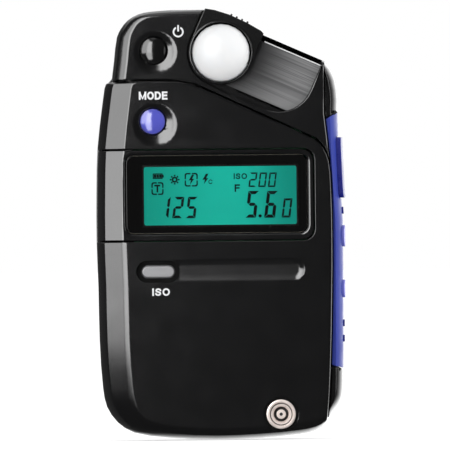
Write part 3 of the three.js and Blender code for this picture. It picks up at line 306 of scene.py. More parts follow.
# Moulded plastic: spark-eroded grain, slow colour drift, handling marks and rubbed edges. Grain in millimetres.
def mouldedPlastic(name, colour, roughness, drift=0.05, grain=0.2, grainDepth=0.1, marks=0.05, shine=0.5,
                   rub=0.0, rubColour=None):
    material, tree, shader = freshMaterial(name)
    plain = coordinates(tree)
    darker, lighter = (tuple(c * (1 + side * drift) for c in colour) for side in (-1, 1))
    tone = blendColour(tree, patches(tree, plain, 70, 3), darker, lighter)
    if rub:
        edge = edgeShare(tree, 0.35 * mm, 0.02, 0.3)
        patchy = spread(tree, cloud(tree, plain, 420, 4, 0.65), 0.42, 0.62, 0.0, 1.0, True)
        worn = combine(tree, "MULTIPLY", combine(tree, "MULTIPLY", edge, patchy), rub)
        tone = blendColour(tree, worn, tone, rubColour)
    handled = spread(tree, cloud(tree, plain, 160, 5, 0.6), 0.32, 0.68, *roughness)
    streaks = cloud(tree, coordinates(tree, (240, 240, 2600), (0.3, 0.2, 0.5)), 1.0, 2)
    scuffs = combine(tree, "MULTIPLY", spread(tree, streaks, 0.66, 0.72, 0.0, 1.0, True), marks)
    grains = cloud(tree, plain, 1 / (grain * mm), 2)
    feed(shader, {
        "Base Color": tone, "Roughness": combine(tree, "ADD", handled, scuffs),
        "Normal": bump(tree, grains, grainDepth, 0.02 * mm), "Specular IOR Level": shine, "IOR": 1.5})
    return material


# Polished moulding: few marks, faint swirl scratches and dust specks.
def glossPlastic(name, colour, roughness, dust, dustColour, shine):
    material, tree, shader = freshMaterial(name)
    plain = coordinates(tree)
    specks = spread(tree, cloud(tree, plain, 2600, 1), 0.72, 0.76, 0.0, dust)
    fine = cloud(tree, coordinates(tree, (500, 500, 7000), (0.5, 0.3, 0.9)), 1.0, 1)
    feed(shader, {
        "Base Color": blendColour(tree, specks, colour, dustColour),
        "Roughness": patches(tree, plain, 220, 4, *roughness),
        "Normal": bump(tree, fine, 0.03, 0.01 * mm), "Specular IOR Level": shine})
    return material


# Turned metal: rings round an axis or fine lines, and tarnish in patches.
def turnedMetal(name, colour, tarnish, roughness, relief, metal=1.0, axis=None):
    material, tree, shader = freshMaterial(name)
    plain = coordinates(tree)
    if axis:
        shifted = combineVectors(tree, "SUBTRACT", plain, axis)[0]
        inputs = {"Vector": shifted, "Scale": 900, "Distortion": 0.4, "Detail": 2}
        lines = addNode(tree, "TexWave", inputs, wave_type="RINGS", rings_direction="Y").outputs["Fac"]
    else:
        lines = cloud(tree, coordinates(tree, (150, 150, 5200)), 1.0, 2)
    dull = spread(tree, cloud(tree, plain, 500, 4), 0.35, 0.75, 0.0, 1.0)
    feed(shader, {
        "Base Color": blendColour(tree, dull, colour, tarnish), "Metallic": metal,
        "Roughness": spread(tree, lines, 0.0, 1.0, *roughness), "Normal": bump(tree, lines, relief, 0.01 * mm)})
    return material


# Clear moulding for the windows. The display's window is printed black round its opening.
def clearPlastic(name, colour, bend, roughness, opening=None):
    material, tree, shader = freshMaterial(name)
    plain = coordinates(tree)
    clear = 1.0
    if opening:
        clear = insideFrame(tree, plain, *opening)
        colour = blendColour(tree, clear, (0.002, 0.002, 0.002), colour)
    feed(shader, {
        "Base Color": colour, "Transmission Weight": clear, "IOR": bend,
        "Roughness": patches(tree, plain, 300, 3, *roughness),
        "Normal": bump(tree, cloud(tree, plain, 900, 1), 0.01, 0.01 * mm)})
    return material


# Opal diffuser: light enters and scatters under a fine matt skin.
def opalPlastic(name, colour, cooler, scatter, reach, roughness):
    material, tree, shader = freshMaterial(name)
    plain = coordinates(tree)
    feed(shader, {
        "Base Color": blendColour(tree, patches(tree, plain, 180, 3), colour, cooler),
        "Subsurface Weight": scatter, "Subsurface Radius": reach, "Subsurface Scale": 1.0,
        "Roughness": patches(tree, plain, 700, 2, *roughness),
        "Normal": bump(tree, cloud(tree, plain, 5200, 2), 0.12, 0.02 * mm), "Specular IOR Level": 0.35})
    return material


# Floor of the channel: combed along the slide, with a painted shadow that darkens it up to some distance from the
# parked dome, where the carriage's shadow falls.
def combedPlastic(name, colour, groove, slope, roughness, park, paintedShadowReach, paintedShadowColour):
    material, tree, shader = freshMaterial(name)
    plain = coordinates(tree)
    fine = cloud(tree, coordinates(tree, (18, 200, 2300), (0, -slope, 0)), 1.0, 3, 0.6)
    wide = cloud(tree, coordinates(tree, (10, 100, 620), (0, -slope, 0)), 1.0, 2)
    streak = spread(tree, fine, 0.36, 0.5, 0.0, 1.0, True)
    band = spread(tree, wide, 0.42, 0.55, 0.55, 1.0, True)
    tone = blendColour(tree, combine(tree, "MULTIPLY", streak, band), groove, colour)
    # painted shadow: the floor's colour turns dark near the parked dome, standing in for the shadow of the carriage
    away = combineVectors(tree, "DISTANCE", plain, park)["Value"]
    paintedShadowShare = spread(tree, away, *paintedShadowReach, 1.0, 0.0, True)
    feed(shader, {
        "Base Color": blendColour(tree, paintedShadowShare, tone, paintedShadowColour),
        "Roughness": patches(tree, plain, 400, 3, *roughness),
        "Normal": bump(tree, fine, 0.5, 0.04 * mm), "Specular IOR Level": 0.2})
    return material


# Backlit liquid crystal: an even glow, a little dim towards the ends, with a pale rim that is a painted highlight of
# the glass's cut edges.
def litPanel(name, centre, half, shown, rim, colour, left, right, paintedRimHighlight):
    material, tree, shader = freshMaterial(name)
    plain = coordinates(tree)
    across = combine(tree, "SUBTRACT", separate(tree, plain)["X"], centre[0])
    tone = blendColour(tree, spread(tree, across, 0.0, -half, 0.0, 1.0, True), colour, left)
    tone = blendColour(tree, spread(tree, across, 0.1 * half, half, 0.0, 1.0, True), tone, right)
    tone = blendColour(tree, patches(tree, plain, 60, 2, 0.0, 0.35), tone, left)
    # painted highlight: a pale band just inside the shown field, for the light on the glass's cut edges
    field = insideFrame(tree, plain, centre, [reach - rim for reach in shown])
    tone = blendColour(tree, field, paintedRimHighlight, tone)
    tone = blendColour(tree, insideFrame(tree, plain, centre, shown), (0, 0, 0), tone)
    feed(shader, {
        "Emission Color": tone, "Emission Strength": 1.0, "Base Color": (0.004, 0.02, 0.018),
        "Roughness": patches(tree, plain, 900, 2, 0.16, 0.24), "Specular IOR Level": 0.05})
    return material


slideAngle = math.atan2(0.403545, 0.914960)

materialSet = {
    "matte_black": mouldedPlastic(
        "satinBlack", colour=(0.003, 0.003, 0.0034), roughness=(0.14, 0.18), drift=0.18, grain=0.16,
        grainDepth=0.05, marks=0.02, shine=0.8, rub=0.6, rubColour=(0.045, 0.045, 0.047)),
    "groove_black": mouldedPlastic(
        "dullBlack", colour=(0.005, 0.005, 0.0054), roughness=(0.21, 0.25), drift=0.18, grain=0.16,
        grainDepth=0.05, marks=0.02, shine=0.9),
    "gloss_black": glossPlastic(
        "polishedBlack", colour=(0.003, 0.003, 0.0034), roughness=(0.10, 0.16), dust=0.12,
        dustColour=(0.083, 0.083, 0.0834), shine=0.95),
    "blue_plastic": mouldedPlastic(
        "satinLavenderBlue", colour=(0.029, 0.051, 0.37), roughness=(0.32, 0.42), drift=0.06, grain=0.14,
        grainDepth=0.14, shine=0.28, rub=0.5, rubColour=(0.26, 0.28, 0.66)),
    "key_blue": mouldedPlastic(
        "keyLavenderBlue", colour=(0.085, 0.095, 0.55), roughness=(0.15, 0.20), grain=0.10, grainDepth=0.04,
        marks=0.03, shine=1.0, rub=0.4, rubColour=(0.3, 0.32, 0.72)),
    # the side keys' blue is lightened to stand in for the glare on them: painted highlight
    "key_blue_painted_glare": mouldedPlastic(
        "keyBluePaintedGlare", colour=(0.17, 0.18, 0.64), roughness=(0.28, 0.36), grain=0.10, grainDepth=0.06,
        marks=0.03, rub=0.4, rubColour=(0.4, 0.42, 0.8)),
    "deep_blue": mouldedPlastic(
        "keyDeepBlue", colour=(0.006, 0.012, 0.24), roughness=(0.24, 0.34), drift=0.06, grain=0.10,
        grainDepth=0.08, rub=0.4, rubColour=(0.05, 0.07, 0.38)),
    "key_grey": mouldedPlastic(
        "keyPaleGrey", colour=(0.30, 0.30, 0.31), roughness=(0.34, 0.44), grain=0.12, rub=0.5,
        rubColour=(0.46, 0.46, 0.47)),
    "dome_white": opalPlastic(
        "opalWhite", colour=(0.93, 0.93, 0.93), cooler=(0.90, 0.91, 0.92), scatter=0.30,
        reach=(0.0016, 0.0015, 0.0014), roughness=(0.36, 0.46)),
    # the combed floor's dark colour round the parked dome is a painted shadow
    "channel_grey": combedPlastic(
        "combedGrey", colour=(0.22, 0.22, 0.223), groove=(0.11, 0.11, 0.113), slope=slideAngle,
        roughness=(0.38, 0.5), park=(0.0028, -0.0038, 0.1010), paintedShadowReach=(7.0 * mm, 21.0 * mm),
        paintedShadowColour=(0.014, 0.014, 0.015)),
    "clear_window": clearPlastic(
        "clearAcrylic", colour=(0.97, 0.985, 0.98), bend=1.49, roughness=(0.0, 0.03)),
    "display_window": clearPlastic(
        "displayAcrylic", colour=(0.97, 0.985, 0.98), bend=1.49, roughness=(0.0, 0.012),
        opening=((-0.0001, 0.06235), (0.0199, 0.00795))),
    "filter_glass": clearPlastic("filterGlass", colour=(0.4, 0.7, 0.65), bend=1.52, roughness=(0.0, 0.04)),
    "lcd": litPanel(
        "liquidCrystal", centre=(-0.0001, 0.0623), half=0.0195, shown=(0.0200, 0.0079), rim=0.36 * mm,
        colour=(0.006, 0.48, 0.37), left=(0.0002, 0.29, 0.215), right=(0.0001, 0.24, 0.185),
        paintedRimHighlight=(0.14, 0.44, 0.37)),
    "cream_plastic": mouldedPlastic(
        "plainCream", colour=(0.58, 0.54, 0.45), roughness=(0.4, 0.5), drift=0.06),
    "contact_rubber": mouldedPlastic(
        "blackRubber", colour=(0.012, 0.011, 0.011), roughness=(0.55, 0.7), drift=0.2, grainDepth=0.3),
    "terminal_metal": turnedMetal(
        "turnedNickel", colour=(0.98, 0.88, 0.83), tarnish=(0.80, 0.70, 0.65), roughness=(0.28, 0.40),
        relief=0.25, metal=0.4, axis=(0.01483, 0.0, 0.006444)),
    "cell_metal": turnedMetal(
        "tinPlate", colour=(0.62, 0.62, 0.61), tarnish=(0.45, 0.45, 0.44), roughness=(0.25, 0.4), relief=0.15),
    "spring_steel": turnedMetal(
        "springNickel", colour=(0.66, 0.65, 0.63), tarnish=(0.5, 0.49, 0.46), roughness=(0.2, 0.32), relief=0.15),
    "screw_steel": turnedMetal(
        "blackenedSteel", colour=(0.09, 0.09, 0.092), tarnish=(0.2, 0.19, 0.18), roughness=(0.3, 0.45),
        relief=0.2),
    "brass": turnedMetal(
        "plainBrass", colour=(0.68, 0.49, 0.2), tarnish=(0.42, 0.28, 0.12), roughness=(0.22, 0.36), relief=0.2),
    # dead black for rings that stand in for shade in recesses and steps: painted shade
    "painted_shade_black": mouldedPlastic(
        "paintedShadeBlack", colour=(0.0016, 0.0016, 0.0016), roughness=(0.7, 0.85), drift=0.2, grainDepth=0.2, shine=0.1),
    "board_green": mouldedPlastic(
        "boardGreen", colour=(0.018, 0.11, 0.045), roughness=(0.3, 0.42), drift=0.25, grain=0.3, grainDepth=0.15),
    "white_ink": mouldedPlastic(
        "whiteInk", colour=(0.80, 0.81, 0.82), roughness=(0.42, 0.52), grain=0.12, grainDepth=0.12, marks=0.04),
    "dark_cells": mouldedPlastic(
        "darkCells", colour=(0.001, 0.006, 0.006), roughness=(0.4, 0.5), drift=0.1, grainDepth=0.05, shine=0.02),
    # a light grey for strips that stand in for the highlight on an edge: painted highlight
    "painted_highlight_edge": mouldedPlastic(
        "paintedHighlightEdge", colour=(0.74, 0.74, 0.75), roughness=(0.3, 0.4), drift=0.08, grain=0.1),
}
print("materials made:", len(materialSet))


# Solids from the frame: welded, flats joined, edges rounded by a real radius, then smooth shading.
def newGroup(name):
    group = bpy.data.node_groups.new(name, "GeometryNodeTree")
    for way in ("INPUT", "OUTPUT"):
        group.interface.new_socket(name="Geometry", in_out=way, socket_type="NodeSocketGeometry")
    return group, addNode(group, "NodeGroupInput").outputs[0]


def makeShading(degrees):
    group, shape = newGroup("smoothTo%d" % degrees)
    angle = addNode(group, "GeometryNodeInputMeshEdgeAngle").outputs[0]
    sharp = addNode(group, "FunctionNodeCompare", {0: angle, 1: math.radians(degrees)},
                    data_type="FLOAT", operation="GREATER_THAN").outputs[0]
    inputs = {0: shape, "Remove Custom": True, "Edge Sharpness": sharp, "Face Sharpness": False}
    normal = addNode(group, "GeometryNodeSetMeshNormal", inputs, mode="SHARPNESS")
    addNode(group, "NodeGroupOutput", {0: normal.outputs[0]})
    return group


# Outer edges get their radius by weight. In some places of the lower cover the share differs:
# its long left edge is rounder than the rest, and the rim of the oval recess stays crisp.
# A place is a box from its low to its high corner in millimetres, with its share.
weightSet = {
    "plain": {"times": 1.0, "places": []},
    "front_cover": {"times": 4.5, "places": [
        ((-26.5, -7.0, 5.0), (-20.0, -6.3, 49.0), 1.0),
        ((-23.2, -6.8, 38.5), (-9.0, -4.0, 47.5), 0.0),
        ((26.2, -7.0, 6.0), (29.0, -6.3, 49.0), 0.5),
        ((-22.0, -7.0, 88.0), (0.0, -6.3, 92.5), 0.4),
    ]},
}
edgeAngle = math.radians(28)


def insideBox(tree, parts, low, high):
    inside = 1.0
    for socket, bottom, top in zip(parts, low, high):
        for kind, edge in (("GREATER_THAN", bottom), ("LESS_THAN", top)):
            inside = combine(tree, "MULTIPLY", inside, combine(tree, kind, socket, edge * mm))
    return inside


def makeWeights(key):
    group, shape = newGroup("edgeWeights_" + key)
    angle = addNode(group, "GeometryNodeInputMeshEdgeAngle").outputs["Signed Angle"]
    weight = combine(group, "GREATER_THAN", angle, edgeAngle)
    parts = separate(group, addNode(group, "GeometryNodeInputPosition").outputs[0])
    share = 1 / weightSet[key]["times"]
    for low, high, placeShare in weightSet[key]["places"]:
        share = blendValue(group, insideBox(group, parts, low, high), share, placeShare)
    inputs = {"Geometry": shape, "Name": "bevel_weight_edge", "Value": combine(group, "MULTIPLY", weight, share)}
    store = addNode(group, "GeometryNodeStoreNamedAttribute", inputs, data_type="FLOAT", domain="EDGE")
    addNode(group, "NodeGroupOutput", {0: store.outputs[0]})
    return group


madeGroups = {}


def addGroup(piece, name, maker, key):
    # a geometry node modifier, whose group is made once for each key
    if (name, key) not in madeGroups:
        madeGroups[name, key] = maker(key)
    piece.modifiers.new(name, "NODES").node_group = madeGroups[name, key]


def addShading(piece, degrees):
    addGroup(piece, "smoothByAngle", makeShading, degrees)


# For each material the solids that wear it, by the radius of their edges in millimetres.
solidSet = {
    "matte_black": {0.22: "front_cover", 0.42: "head_cover", 0.25: "back_shell battery_cover",
                    0.12: "dome_carriage", 0.08: "power_button"},
    "blue_plastic": {0.2: "side_panel"},
    "gloss_black": {0.30: "display_bezel", 0.0: "display_mask"},
    "display_window": {0.12: "display_window"},
    "lcd": {0.05: "lcd_glass"},
    "dome_white": {0.0: "dome"},
    "channel_grey": {0.05: "channel_plate"},
    "clear_window": {0.1: "receptor_window"},
    "filter_glass": {0.05: "cell_filter"},
    "key_blue": {0.08: "mode_button"},
    "key_grey": {0.5: "iso_button"},
    # the up and down keys wear the blue lightened as a painted highlight
    "key_blue_painted_glare": {0.2: "up_key down_key"},
    "deep_blue": {0.2: "measure_button", 0.08: "touch_dot_1 touch_dot_2 touch_dot_3"},
    "cream_plastic": {0.1: "lcd_holder light_panel"},
    "contact_rubber": {0.1: "zebra_strip_1 processor_chip", 0.05: "sync_insulator"},
    "board_green": {0.05: "cell_board main_board side_board"},
    "terminal_metal": {0.12: "sync_sleeve", 0.08: "sync_contact"},
    "brass": {0.05: "sync_nut"},
    "spring_steel": {0.05: "click_spring battery_plate", 0.0: "battery_spring", 0.1: "strap_bar"},
    "cell_metal": {0.1: "photo_cell", 0.2: "battery", 0.06: "power_switch mode_switch iso_switch "
                   "measure_switch up_switch down_switch"},
    "screw_steel": {0.08: "case_screw_1 case_screw_2 case_screw_3 case_screw_4 "
                    "board_screw_1 board_screw_2 board_screw_3"},
}
# Edges up to this angle look smooth, in degrees.
smoothSet = {"plain": 28, "dome": 40, "power_button": 40, "mode_button": 40, "battery_spring": 60}


def addModifier(piece, name, kind, **settings):
    applySettings(piece.modifiers.new(name, kind), settings)


def dressSolid(name, slotName, radius):
    piece = nodes[name]
    addModifier(piece, "weld", "WELD", merge_threshold=0.002 * mm)
    if radius > 0:
        addModifier(piece, "joinFlats", "DECIMATE", decimate_type="DISSOLVE", angle_limit=math.radians(0.3))
        key = name if name in weightSet else "plain"
        addGroup(piece, "edgeWeights", makeWeights, key)
        addModifier(piece, "edgeRadius", "BEVEL", width=radius * weightSet[key]["times"] * mm, segments=3,
                    limit_method="WEIGHT", use_clamp_overlap=False)
    addShading(piece, smoothSet.get(name, smoothSet["plain"]))
    addModifier(piece, "evenFlats", "WEIGHTED_NORMAL", mode="FACE_AREA", weight=50, keep_sharp=True)
    for holder in piece.material_slots:
        holder.material = materialSet[slotName]


plainNodes = set(nodes)
for slotName, family in solidSet.items():
    for radius, names in family.items():
        for solidName in names.split():
            dressSolid(solidName, slotName, radius)
            plainNodes.remove(solidName)
print("solids dressed, left plain:", sorted(plainNodes))


# Helpers for flat printed or punched shapes, drawn in X and Z and thick along Y.
def thicken(shape, faces, thick):
    made = bmesh.ops.extrude_face_region(shape, geom=faces)
    for item in made["geom"]:
        if isinstance(item, bmesh.types.BMVert):
            item.co.y += thick


def addPrism(shape, points, front, back):
    ring = [shape.verts.new((x, front, z)) for x, z in points]
    thicken(shape, [shape.faces.new(ring)], back - front)


def addRings(shape, outlines):
    # each outline has its points and its depth, and the last one joins the first, so that the skin closes
    rings = [[shape.verts.new((x, depth, z)) for x, z in points] for points, depth in outlines]
    for ring, following in zip(rings, rings[1:] + rings[:1]):
        for k in range(-1, len(ring) - 1):
            shape.faces.new((ring[k], ring[k + 1], following[k + 1], following[k]))


def addBand(shape, outer, inner, front, back):
    addRings(shape, ((outer, front), (inner, front), (inner, back), (outer, back)))


def makePiece(shape, name, material):
    mesh = bpy.data.meshes.new(name)
    shape.to_mesh(mesh)
    shape.free()
    piece = bpy.data.objects.new(name, mesh)
    scene.collection.objects.link(piece)
    mesh.materials.append(material)
    return piece


def finishShape(shape, name, slotName, body="housing"):
    bmesh.ops.recalc_face_normals(shape, faces=shape.faces)
    piece = makePiece(shape, name, materialSet[slotName])
    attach(piece, body)
    return piece


def shapePiece(name, slotName, add, *values):
    shape = bmesh.new()
    add(shape, *values)
    return finishShape(shape, name, slotName)


def circle(cx, cz, radius, steps=32, start=0.0, end=360.0):
    points = []
    for step in range(steps if end - start >= 360 else steps + 1):
        turn = math.radians(start + (end - start) * step / steps)
        points.append((cx + radius * math.cos(turn), cz + radius * math.sin(turn)))
    return points


def roundedBox(x0, z0, x1, z1, radius, steps=5):
    corners = ((x1 - radius, z1 - radius, 0), (x0 + radius, z1 - radius, 90),
               (x0 + radius, z0 + radius, 180), (x1 - radius, z0 + radius, 270))
    points = []
    for cx, cz, start in corners:
        points += circle(cx, cz, radius, steps, start, start + 90)
    return points


def boxRound(cx, cz, halfX, halfZ, radius, steps=5):
    return roundedBox(cx - halfX, cz - halfZ, cx + halfX, cz + halfZ, radius, steps)


def plainBox(x0, z0, x1, z1):
    return [(x0, z0), (x1, z0), (x1, z1), (x0, z1)]


def barBetween(start, end, width):
    # a straight bar between two points of the picture, its width in millimetres
    a, b = Vector(spotAt(*start)), Vector(spotAt(*end))
    along = (b - a).normalized()
    across = Vector((-along.y, along.x)) * width * mm / 2
    return [tuple(p) for p in (a - across, b - across, b + across, a + across)]


# Letters are single strokes of even weight in a cell one unit high: a width and a list of lines.
letterSet = {
    "M": (1.16, [((0, 0), (0, 1)), ((1.16, 0), (1.16, 1)), ((-0.02, 1.06), (0.58, 0.02), (1.18, 1.06))]),
    "O": (1.04, ["round"]),
    "D": (0.94, [((0, 0), (0, 1), (0.44, 1), (0.68, 0.94), (0.86, 0.76), (0.94, 0.5), (0.86, 0.24),
                  (0.68, 0.06), (0.44, 0))]),
    "E": (0.78, [((0.78, 1), (0, 1), (0, 0), (0.78, 0)), ((0, 0.52), (0.72, 0.52))]),
    "F": (0.74, [((0.74, 1), (0, 1), (0, 0)), ((0, 0.52), (0.66, 0.52))]),
    "I": (0.0, [((0, 0), (0, 1))]),
    "T": (0.84, [((0, 1), (0.84, 1)), ((0.42, 1), (0.42, 0))]),
    "S": (0.82, [((0.80, 0.80), (0.70, 0.94), (0.42, 1.0), (0.14, 0.93), (0.04, 0.76), (0.14, 0.60),
                  (0.42, 0.52), (0.70, 0.43), (0.80, 0.25), (0.70, 0.07), (0.41, 0.0), (0.12, 0.06),
                  (0.0, 0.22))]),
    "C": (0.90, [((0.90, 0.76), (0.76, 0.92), (0.50, 1.0), (0.24, 0.94), (0.06, 0.76), (0, 0.5),
                  (0.06, 0.24), (0.24, 0.06), (0.50, 0), (0.76, 0.08), (0.90, 0.24))]),
}
closedLetters = "OD"


def addStroke(shape, points, width, closed, front, back, low, high):
    count = len(points)
    sides = ([], [])
    ends = [Vector(point) for point in points]
    if not closed:
        ends[0] += (ends[0] - ends[1]).normalized() * width / 2
        ends[-1] += (ends[-1] - ends[-2]).normalized() * width / 2
    for index, here in enumerate(ends):
        inward = (here - ends[index - 1]).normalized()
        outward = (ends[(index + 1) % count] - here).normalized()
        if not closed:
            inward = outward if index == 0 else inward
            outward = inward if index == count - 1 else outward
        normalIn = Vector((-inward.y, inward.x))
        normalOut = Vector((-outward.y, outward.x))
        mitre = (normalIn + normalOut).normalized()
        reach = width / 2 / max(0.7, mitre.dot(normalIn))
        for side, point in zip(sides, (here + mitre * reach, here - mitre * reach)):
            side.append((point.x, min(high, max(low, point.y))))
    if closed:
        addBand(shape, *sides, front, back)
    else:
        addPrism(shape, sides[0] + sides[1][::-1], front, back)


def addLetters(shape, word, centre, size, weight, front, back):
    # stroke weight and the space between letters are shares of the letters' height
    apart = 0.30
    width, tall = size
    height, line = tall * (1 - weight), tall * weight
    places, x = [], 0.0
    for letter in word:
        places.append(x)
        x += letterSet[letter][0] + weight + apart
    total = x - weight - apart
    scaleX = (width - line) / total if total > 0 else height
    for letter, start in zip(word, places):
        for number, stroke in enumerate(letterSet[letter][1]):
            if stroke == "round":
                stroke = [(px * letterSet[letter][0], pz) for px, pz in circle(0.5, 0.5, 0.5, 28)]
            points = [(centre[0] + (start + px - total / 2) * scaleX, centre[1] + (pz - 0.5) * height)
                      for px, pz in stroke]
            # strokes that cross lie a little behind each other
            strokeFront = front + number * (back - front) * 0.08
            addStroke(shape, points, line, letter in closedLetters, strokeFront, back,
                      centre[1] - tall / 2, centre[1] + tall / 2)


def onCover(point):
    return point[0] * mm + picture["shiftX"], point[1] * mm + picture["shiftZ"]


# White legends are printed ink, a few hundredths of a millimetre thick, on the covers.
legendSet = {
    "proud": 0.03 * mm,
    "sunk": 0.01 * mm,
    "modeMark": {"word": "MODE", "centre": (-16.6, 88.0), "size": (7.3, 2.07)},
    "isoMark": {"word": "ISO", "centre": (-15.1, 37.9), "size": (4.5, 1.95)},
    "weight": 0.22,
    "powerMark": {"centre": (-10.05, 104.2), "radius": 1.40, "line": 0.42, "arc": (118, 422),
                  "bar": (0.1, 0.35)},
}


def makeLegends(look):
    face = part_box("front_cover")[0].y
    for name in ("modeMark", "isoMark"):
        mark = look[name]
        size = [side * mm for side in mark["size"]]
        shapePiece(name, "white_ink", addLetters, mark["word"], onCover(mark["centre"]), size, look["weight"],
                   face - look["proud"], face + look["sunk"])
    mark = look["powerMark"]
    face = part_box("head_cover")[0].y
    front, back = face - look["proud"], face + look["sunk"]
    cx, cz = onCover(mark["centre"])
    radius, line = mark["radius"] * mm, mark["line"] * mm
    outer, inner = (circle(cx, cz, r, 36, *mark["arc"]) for r in (radius, radius - line))
    shape = bmesh.new()
    addPrism(shape, outer + inner[::-1], front, back)
    foot, tip = (v * mm for v in mark["bar"])
    addPrism(shape, plainBox(cx - line / 2, cz + foot, cx + line / 2, cz + radius + tip), front, back)
    finishShape(shape, "powerMark", "white_ink")


makeLegends(legendSet)
print("legends printed")


# What the display shows: plain numbers and the usual little signs, as dark cells on the liquid crystal.
# Places and sizes are in pixels of the picture.
displaySet = {
    "proud": 0.05 * mm,
    "sunk": 0.005 * mm,
    "slant": 0.13,
    "gap": 0.07,
    # number, left, top, width, height, line
    "digits": [
        ("1", 161.2, 196.3, 7.4, 21.4, 2.7),
        ("2", 172.4, 196.3, 9.8, 21.4, 2.7),
        ("5", 185.8, 196.3, 9.8, 21.4, 2.7),
        ("5", 245.4, 190.4, 10.8, 26.8, 3.3),
        ("6", 264.2, 190.4, 11.0, 26.8, 3.3),
        ("0", 281.8, 197.8, 8.8, 19.2, 2.1),
        ("2", 248.7, 171.9, 7.4, 14.6, 1.6),
        ("0", 258.4, 171.9, 7.4, 14.6, 1.6),
        ("0", 268.1, 171.9, 7.4, 14.6, 1.6),
    ],
    "point": (260.6, 215.3, 1.7),
    # piece, word, centre, width, height, weight
    "words": [("isoSign", "ISO", (240.8, 175.6), 13.4, 5.8, 0.2), ("stopSign", "F", (237.8, 187.5), 5.4, 7.6, 0.2),
              ("cordlessSign", "C", (210.9, 181.2), 4.0, 4.6, 0.18),
              ("timeSign", "T", (157.9, 188.0), 6.0, 7.6, 0.22)],
    "battery": {"topLeft": (153.2, 172.9), "footRight": (163.2, 178.4), "knob": 1.4},
    "sun": {"centre": (175.2, 179.1), "ring": (3.0, 1.3), "ray": (3.2, 4.9), "rayHalf": 0.78},
    "bolt": ((0.5, 4.9), (-2.8, -0.9), (-0.5, -0.5), (-1.5, -5.0), (2.9, 1.0), (0.7, 0.7), (2.9, 4.9)),
    "bolts": [((191.9, 179.1), 1.0), ((205.9, 178.4), 1.06)],
    # square signs: line, outer and inner rounding and how far a corner reaches, then centre and half sizes
    "frame": (1.4, 2.2, 1.4, 0.42),
    "frames": [((191.7, 179.2), 6.6, 6.8), ((158.0, 188.0), 6.1, 6.4)],
}
segmentsOf = {"0": "abcdef", "1": "bc", "2": "abged", "5": "afgcd", "6": "afgedc"}


def addDigit(shape, look, digit, front, back):
    glyph, px, py, *sizes = digit
    left, top = spotAt(px, py)
    w, h, t = (size * pixel for size in sizes)
    g, half, m = look["gap"] * t, t / 2, h / 2
    upper = [(g, h), (w - g, h), (w - t - g, h - t), (t + g, h - t)]
    side = [(0, h - g), (t, h - t - g), (t, m + half + g), (half, m + g), (0, m + half)]
    bar = [(half + g, m), (t + g, m + half), (w - t - g, m + half), (w - half - g, m), (w - t - g, m - half),
           (t + g, m - half)]
    # each segment with its shape and whether it is turned over to the right and downwards
    parts = {"a": (upper, 0, 0), "b": (side, 1, 0), "c": (side, 1, 1), "d": (upper, 0, 1),
             "e": (side, 0, 1), "f": (side, 0, 0), "g": (bar, 0, 0)}
    for letter in segmentsOf[glyph]:
        points, right, down = parts[letter]
        points = [(w - x if right else x, h - z if down else z) for x, z in points]
        addPrism(shape, [(left + x + look["slant"] * z, top - h + z) for x, z in points], front, back)


def openFrame(shape, outer, inner, reach, front, back):
    # four corner pieces, each from near the middle of one side to near the middle of the next
    count = len(outer)
    for first in range(0, count, count // 4):
        last = first + count // 4 - 1
        sides = []
        for points in (outer, inner):
            start, end = (tuple(Vector(points[a]).lerp(Vector(points[b % count]), reach))
                          for a, b in ((first, first - 1), (last, last + 1)))
            sides.append([start] + points[first:last + 1] + [end])
        addPrism(shape, sides[0] + sides[1][::-1], front, back)


def addBattery(shape, look, front, back):
    # an outline with three bars and a knob
    x0, z1 = spotAt(*look["topLeft"])
    x1, z0 = spotAt(*look["footRight"])
    line = 1.0 * pixel
    addBand(shape, roundedBox(x0, z0, x1, z1, 0.3 * line, 2),
            roundedBox(x0 + line, z0 + line, x1 - line, z1 - line, 0.2 * line, 2), front, back)
    room = (x1 - x0 - 2 * line) / 3
    for index in range(3):
        a = x0 + line + room * (index + 0.06)
        addPrism(shape, [(a, z0 + 1.2 * line), (a + room * 0.92, z0 + 1.1 * line),
                         (a + room * 0.92, z1 - 1.1 * line), (a, z1 - 1.2 * line)], front, back)
    knob = look["knob"] * pixel
    level = (z0 + z1) / 2
    addPrism(shape, plainBox(x1, level - knob, x1 + knob * 0.8, level + knob), front, back)


def addSun(shape, look, front, back):
    # a ring and eight rays
    cx, cz = spotAt(*look["centre"])
    outer, inner = (circle(cx, cz, radius * pixel, 20) for radius in look["ring"])
    addBand(shape, outer, inner, front, back)
    for index in range(8):
        turn = math.radians(45 * index)
        along = Vector((math.cos(turn), math.sin(turn)))
        across = Vector((-along.y, along.x)) * look["rayHalf"] * pixel
        start, end = (along * reach * pixel for reach in look["ray"])
        corners = (start - across, end - across, end + across, start + across)
        addPrism(shape, [(cx + c.x, cz + c.y) for c in corners], front, back)


